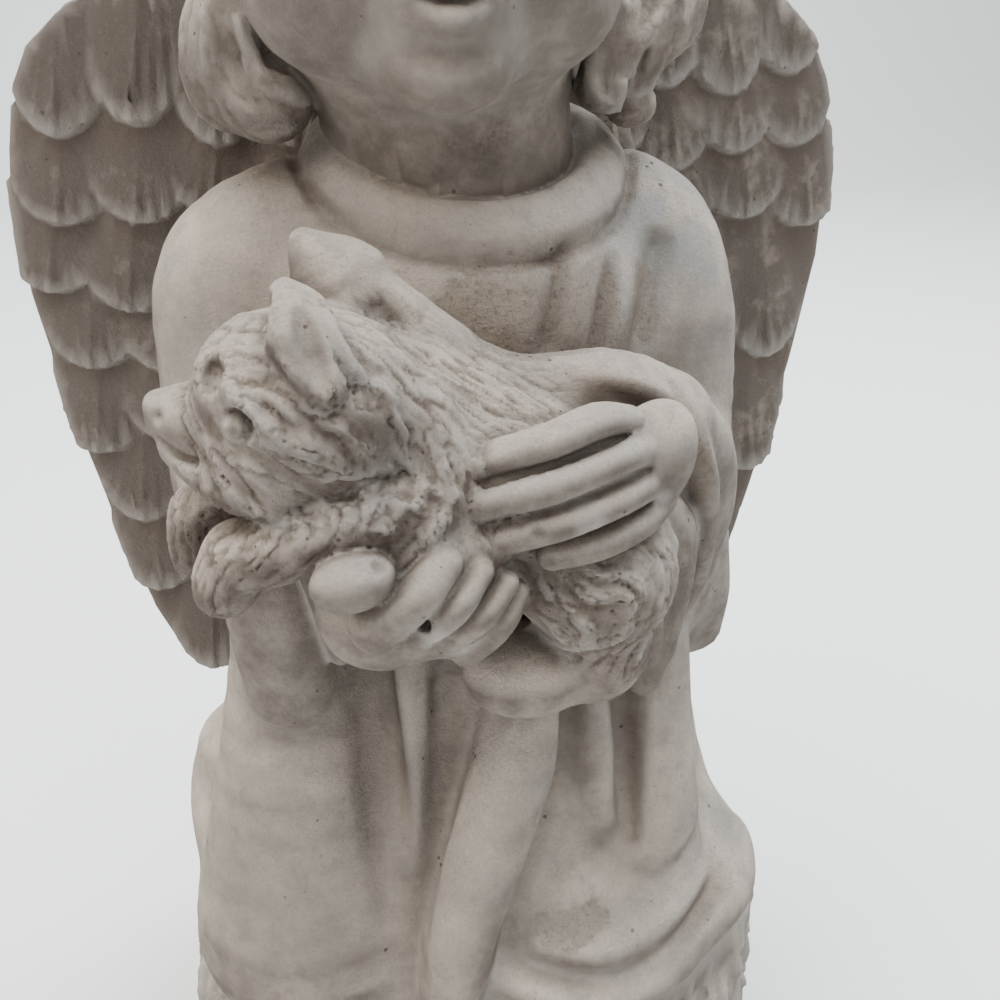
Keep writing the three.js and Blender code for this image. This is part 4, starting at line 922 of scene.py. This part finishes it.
# Places that stay smooth (centre, radius): near eye, near ear, muzzle.
SMOOTH_SPOTS = (((-54, -93, 243.5), 3), ((-40, -93, 259), 5), ((-40, -97, 254), 3),
                ((-70, -76, 238), 8))
TAIL_START, TAIL_FUR = 36, 0.3  # beyond this x the fur is weaker
# Box of the puppy and the hands, whose mesh is thinned less than the rest.
FRONT_LOW, FRONT_HIGH = (-72, -130, 160), (56, -50, 275)
REST_SHARE = 0.4  # triangles of the rest after the first thinning, as a share of TRIANGLES

build_foot()
build_robe()
build_chest()
build_sleeves()
pleat_chest()
build_wing(LEFT_WING, LEFT_ROWS)
build_wing(RIGHT_WING, RIGHT_ROWS)
build_collar_and_neck()
build_head()
before_hair = F.copy()
build_hair()
locks_of_hair()
rough_foot()
before_puppy = F.copy()
build_puppy()
fur_puppy()
carve_muzzle()
before_hands = F.copy()
build_hands()

place, quads = surface_net()
facing = outward(place, quads)
# the fur is where the surface is the puppy's own; the hair is where it stands off the head
fur = np.clip(sample(place, before_puppy) - 0.5, 0, 1) * (np.abs(sample(place, before_hands)) < 0.4)
fur *= np.clip((TAIL_START - place[:, 0]) / 5, TAIL_FUR, 1)
for centre, radius in SMOOTH_SPOTS:
    fur *= np.clip((np.linalg.norm(place - centre, axis=1) - radius) / 2, 0, 1)
brush(place, facing, fur, FUR, 0.65, 2.1, 18, 0.5)
brush(place, facing, fur, FUR, 0.3, 1.4, 10, 0.5)
hair = np.clip(sample(place, before_hair) - 0.5, 0, 1)
brush(place, facing, hair, HAIR, 0.45, 2.4, 22)
statue = make_mesh("statue_casting", place * UNIT, quads)
front = np.all((place > FRONT_LOW) & (place < FRONT_HIGH), axis=1)
thin(statue, front.sum() * 2 + TRIANGLES * REST_SHARE, front)
thin(statue, TRIANGLES)
for face in statue.data.polygons:
    face.use_smooth = True


# ---- finish ----
def hollow_masks(piece):
    """Per vertex: how closed in it is (fine and broad), and how sharply it stands out."""
    flat = np.empty(len(piece.data.vertices) * 3, np.float32)
    piece.data.vertices.foreach_get("co", flat)
    p = flat.reshape(-1, 3).astype(float) / UNIT
    n = gradient(p, 1.2)

    def shut(r):
        return np.clip(1 - sample(p + n * r) / r, 0, 1.5)

    fine = np.clip(shut(1.4) * 0.8 + shut(2.6) * 0.9 - sample(p) * 0.9, 0, 1)
    broad = np.clip(shut(5) * 0.6 + shut(9) * 0.7, 0, 1)
    proud = np.clip((sample(p - n * 2.2) / 2.2 + 1) * 1.6, 0, 1)
    return p, n, fine, broad, proud


# Brown staining and painted shade (power, centre, size): chest, cuff, hands, neck, hair, robe; stains
# where water stands, painted shade under the chin, under the curl and between hand and puppy.
STAINS_AND_SHADE = ((0.85, (14, -46, 250), (24, 18, 15)), (0.8, (-8, -54, 246), (14, 14, 12)),
          (1.1, (41, -34, 249), (4, 9, 12)), (0.9, (27, -42, 249), (4, 9, 12)),
          (0.9, (36, -69, 229), (8, 6, 10)), (0.9, (43, -65, 215), (5, 7, 12)),
          (0.8, (-13, -86, 224), (7, 14, 14)), (0.5, (-5, -34, 284), (24, 14, 9)),
          (0.5, (-48, -30, 288), (16, 20, 10)), (0.5, (-30, -66, 258), (8, 8, 14)),
          (0.6, (30, -80, 160), (14, 20, 8)), (0.6, (18, -78, 96), (26, 14, 6)))
# Bluish places: painted cool light on the shoulder, bluish tone on the near ear and the cheek of the
# puppy.
COOL_LIGHT_AND_TONE_SPOTS = ((1, (52, -22, 258), (22, 24, 24)), (0.9, (-41, -86, 254), (6, 6, 9)),
              (0.6, (-26, -94, 232), (14, 10, 10)))
# Painted shade beside the faces turned down: under the ear and under the cheek.
SHADE_SPOTS = ((0.5, (-41, -92, 256), (6, 8, 8)), (0.3, (-28, -96, 236), (14, 10, 12)))
# painted shade laid over each wing, heavier on the viewer-left one
LEFT_WING_SHADE, RIGHT_WING_SHADE = 0.9, 0.5


def spots(p, table):
    """Soft patches from a table of (power, centre, size), fading over size each way."""
    total = np.zeros(len(p))
    for power, centre, size in table:
        total += power * np.exp(-(((p - centre) / size) ** 2).sum(axis=1))
    return total


def paint_masks(piece):
    p, n, fine, broad, proud = hollow_masks(piece)
    x, y, z = p.T
    wing = np.clip((y - 18) / 16, 0, 1) * np.clip((np.abs(x) - 40) / 20, 0, 1) * (z > 120)
    # painted shade: faces turned down or sideways darker, more in the spots and on the wings
    painted_shade = np.clip(0.95 - n[:, 2] * 1.7, 0, 1) * (z > 8) + spots(p, SHADE_SPOTS)
    painted_shade += wing * np.where(x < 0, LEFT_WING_SHADE, RIGHT_WING_SHADE)
    values = {"painted_shade": np.clip(painted_shade, 0, 1.5), "fine_hollow": fine, "broad_hollow": broad,
              "proud_edge": proud, "stain_and_shade": np.clip(spots(p, STAINS_AND_SHADE), 0, 1),
              "cool_light_and_tone": np.clip(spots(p, COOL_LIGHT_AND_TONE_SPOTS), 0, 1)}
    for name, value in values.items():
        layer = piece.data.attributes.new(name, "FLOAT", "POINT")
        layer.data.foreach_set("value", value.astype(np.float32))


MM = 1000.0  # millimetres in a metre


class Nodes:
    """Short calls for a material's nodes."""

    def __init__(self, material):
        material.use_nodes = True
        self.tree = material.node_tree
        self.shader = self.tree.nodes["Principled BSDF"]

    def add(self, kind, **settings):
        node = self.tree.nodes.new("ShaderNode" + kind)
        for name, value in settings.items():
            setattr(node, name, value)
        return node

    def link(self, out, into):
        self.tree.links.new(out, into)

    def feed(self, node, name, value):
        """Give an input a node's output, a colour or a number."""
        into = node.inputs[name]
        if hasattr(value, "is_output"):
            self.link(value, into)
        else:
            into.default_value = (*value, 1) if isinstance(value, tuple) else value

    def value_of(self, name):
        return self.add("Attribute", attribute_name=name).outputs["Fac"]

    def texture(self, kind, size, **inputs):
        """A texture in the object's own coordinates, with features of this size."""
        node = self.add(kind)
        self.link(self.add("TexCoord").outputs["Object"], node.inputs["Vector"])
        for name, value in inputs.items():
            node.inputs[name].default_value = value
        node.inputs["Scale"].default_value = MM / size
        return node.outputs

    def noise(self, size, detail=3.0, rough=0.55):
        """Cloudy noise from 0 to 1 with patches of this size in millimetres."""
        return self.texture("TexNoise", size, Detail=detail, Roughness=rough)["Fac"]

    def cells(self, size):
        """Distance to the nearest of scattered points, this many millimetres apart."""
        return self.texture("TexVoronoi", size)["Distance"]

    def ramp(self, value, low, high, out_low=0.0, out_high=1.0):
        """Eases from out_low to out_high as the value goes from low to high."""
        node = self.add("MapRange", interpolation_type="SMOOTHSTEP")
        for index, number in enumerate((value, low, high, out_low, out_high)):
            self.feed(node, index, number)
        return node.outputs["Result"]

    def maths(self, kind, a, b=0.0):
        node = self.add("Math", operation=kind)
        self.feed(node, 0, a)
        self.feed(node, 1, b)
        return node.outputs[0]

    def blend(self, amount, a, b):
        """Colour a where amount is 0, b where it is 1."""
        node = self.add("MixRGB")
        self.feed(node, "Fac", amount)
        self.feed(node, "Color1", a)
        self.feed(node, "Color2", b)
        return node.outputs[0]

    def times(self, a, b):
        return self.maths("MULTIPLY", a, b)


# colours; the shaded, dirt and rust tones carry painted shade, the cool tone painted cool light, the
# worn tone a painted highlight
PALE, GREY = (0.97, 0.83, 0.69), (0.72, 0.64, 0.555)
CLOUD, COOL = (0.42, 0.375, 0.33), (0.60, 0.625, 0.64)
SHADED = (0.18, 0.15, 0.125)
DARK_SAND, PALE_SAND = (0.27, 0.24, 0.21), (0.82, 0.76, 0.68)
DIRT_AND_SHADE, RUST_AND_SHADE, SOOT = (0.17, 0.13, 0.10), (0.33, 0.265, 0.20), (0.09, 0.075, 0.065)
WORN_AND_HIGHLIGHT = (0.80, 0.75, 0.69)
BUMP_DEPTH = 0.001  # metres


def concrete():
    """Weathered cast concrete: sandy, with painted top light on faces turned up and painted shade on
    faces turned down, dirt, stains and painted shade in hollows, with pinholes.
    """
    material = bpy.data.materials.new("cast_concrete")
    n = Nodes(material)
    painted_shade = n.value_of("painted_shade")
    colour = n.blend(n.ramp(n.noise(34, 6, 0.65), 0.36, 0.62), PALE, GREY)
    colour = n.blend(n.ramp(n.noise(7, 5, 0.7), 0.47, 0.68, 0, 0.38), colour, CLOUD)
    # bluish patches: painted cool light on the shoulder, bluish tone at the ear and cheek
    cool_light_and_tone = n.times(n.value_of("cool_light_and_tone"), n.ramp(n.noise(14, 4), 0.35, 0.6))
    colour = n.blend(cool_light_and_tone, colour, COOL)
    # painted shade on faces turned down or sideways, on the wings and under the puppy's ear and cheek,
    # with cloudy edges
    shade_amount = n.times(painted_shade, n.ramp(n.noise(12, 5, 0.65), 0.25, 0.65, 0.6, 0.98))
    colour = n.blend(shade_amount, colour, SHADED)
    # sand grains: darker ones everywhere, paler ones only on faces turned up, a painted top light
    colour = n.blend(n.ramp(n.noise(0.9, 4, 0.8), 0.51, 0.68, 0, 0.4), colour, DARK_SAND)
    top_lit_face = n.ramp(painted_shade, 0.1, 0.7, 1, 0.05)
    pale = n.times(n.ramp(n.noise(1.1, 2, 0.7), 0.30, 0.48, 0.45, 0), top_lit_face)
    colour = n.blend(pale, colour, PALE_SAND)
    # dirt and painted shade in the hollows
    broad = n.times(n.value_of("broad_hollow"), n.ramp(n.noise(9, 4, 0.6), 0.25, 0.6, 0.45, 0.95))
    colour = n.blend(n.times(broad, 0.62), colour, DIRT_AND_SHADE)
    fine = n.times(n.value_of("fine_hollow"), n.ramp(n.noise(3, 3, 0.6), 0.25, 0.65, 0.6, 1.0))
    colour = n.blend(n.times(fine, 0.7), colour, DIRT_AND_SHADE)
    # stains, with painted shade in the same patches, and sooty specks in them
    edge = n.times(n.maths("SUBTRACT", n.noise(10, 8, 0.75), 0.5), 1.7)
    brown_and_shade_patch = n.ramp(n.maths("ADD", n.value_of("stain_and_shade"), edge), 0.40, 0.62)
    colour = n.blend(n.times(brown_and_shade_patch, 0.42), colour, RUST_AND_SHADE)
    speck = n.times(brown_and_shade_patch, n.ramp(n.noise(1.5, 6, 0.85), 0.50, 0.64))
    colour = n.blend(n.times(speck, 0.5), colour, SOOT)
    # proud edges paler: wear and a painted highlight
    colour = n.blend(n.times(n.value_of("proud_edge"), 0.4), colour, WORN_AND_HIGHLIGHT)
    # pinholes of several sizes, in groups
    reach = n.ramp(n.noise(5, 2), 0.40, 0.65, 0.02, 0.15)
    holes = n.ramp(n.maths("SUBTRACT", n.cells(3.8), reach), -0.03, 0.02, 1, 0)
    holes = n.times(holes, n.ramp(n.noise(18, 3), 0.50, 0.60))
    colour = n.blend(n.times(holes, 0.75), colour, SOOT)
    n.link(colour, n.shader.inputs["Base Color"])
    n.shader.inputs["Roughness"].default_value = 0.93
    n.shader.inputs["Specular IOR Level"].default_value = 0.25
    # relief: sand, small lumps, rough stain and shade patches, pinholes
    height = n.maths("ADD", n.times(n.noise(1.1, 6, 0.8), 2.4), n.times(n.noise(4.0, 6, 0.68), 1.5))
    height = n.maths("ADD", height, n.times(brown_and_shade_patch, n.times(n.noise(1.8, 5, 0.8), 1.8)))
    height = n.maths("SUBTRACT", height, n.times(holes, 0.5))
    bump = n.add("Bump")
    bump.inputs["Distance"].default_value = BUMP_DEPTH
    bump.inputs["Strength"].default_value = 0.9
    n.link(height, bump.inputs["Height"])
    n.link(bump.outputs["Normal"], n.shader.inputs["Normal"])
    return material


paint_masks(statue)
statue.data.materials.append(concrete())
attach(statue, "root")
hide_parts("cherub_statue")


# ---- stage ----
FLOOR_HALF, FLOOR_FRONT, FLOOR_BACK, WALL_TOP = 4.0, -3.0, 2.0, 4.0
SWEEP_RADIUS = 0.8  # of the curve from the floor up to the wall
FLOOR_COLOUR = (0.93, 0.95, 0.95, 1)
WORLD_COLOUR, WORLD_STRENGTH = (0.97, 0.98, 1.0, 1), 0.5
# Square lights: name, place, aim, side in metres, watts, colour.
LIGHTS = (("ceiling", (0, 0.3, 2.2), (0, 0.3, 0), 3.0, 132, (0.98, 0.99, 1.0)),
          ("window", (0.75, 0.35, 1.15), (0, 0, 0.2), 0.8, 10, (0.82, 0.92, 1.0)),
          ("fill", (-0.9, -0.3, 1.0), (0, 0, 0.2), 0.9, 9, (1.0, 0.88, 0.74)))
CAMERA_PLACE, CAMERA_TURN, CAMERA_LENS = (-0.0385, -0.268, 0.305), (66, 0, -10.4), 37.08


def build_floor():
    """A pale floor that sweeps up far behind the statue."""
    profile = [(FLOOR_FRONT, 0.0), (FLOOR_BACK, 0.0)]
    for a in np.linspace(0.1, math.pi / 2, 12):
        profile.append((FLOOR_BACK + math.sin(a) * SWEEP_RADIUS,
                        SWEEP_RADIUS - math.cos(a) * SWEEP_RADIUS))
    profile.append((FLOOR_BACK + SWEEP_RADIUS, WALL_TOP))
    points = [(x, y, z) for y, z in profile for x in (-FLOOR_HALF, FLOOR_HALF)]
    faces = [(i, i + 1, i + 3, i + 2) for i in range(0, len(points) - 2, 2)]
    mesh = bpy.data.meshes.new("floor")
    mesh.from_pydata(points, [], faces)
    floor = add_object("floor", mesh)
    paint = bpy.data.materials.new("pale_floor")
    paint.use_nodes = True
    shader = paint.node_tree.nodes["Principled BSDF"]
    shader.inputs["Base Color"].default_value = FLOOR_COLOUR
    shader.inputs["Roughness"].default_value = 0.8
    floor.data.materials.append(paint)


def light_world():
    world = bpy.data.worlds.new("studio")
    bpy.context.scene.world = world
    world.use_nodes = True
    background = world.node_tree.nodes["Background"]
    background.inputs["Color"].default_value = WORLD_COLOUR
    background.inputs["Strength"].default_value = WORLD_STRENGTH


def add_light(name, place, aim, size, power, colour):
    data = bpy.data.lights.new(name, "AREA")
    data.size = size
    data.energy = power
    data.color = colour
    lamp = add_object(name, data)
    lamp.location = place
    lamp.rotation_euler = (Vector(aim) - Vector(place)).to_track_quat("-Z", "Y").to_euler()


def add_camera():
    data = bpy.data.cameras.new("camera")
    data.sensor_width = 36
    data.lens = CAMERA_LENS
    data.clip_start = 0.01
    camera = add_object("camera", data)
    camera.location = CAMERA_PLACE
    camera.rotation_euler = [math.radians(a) for a in CAMERA_TURN]
    bpy.context.scene.camera = camera


build_floor()
light_world()
for light in LIGHTS:
    add_light(*light)
add_camera()
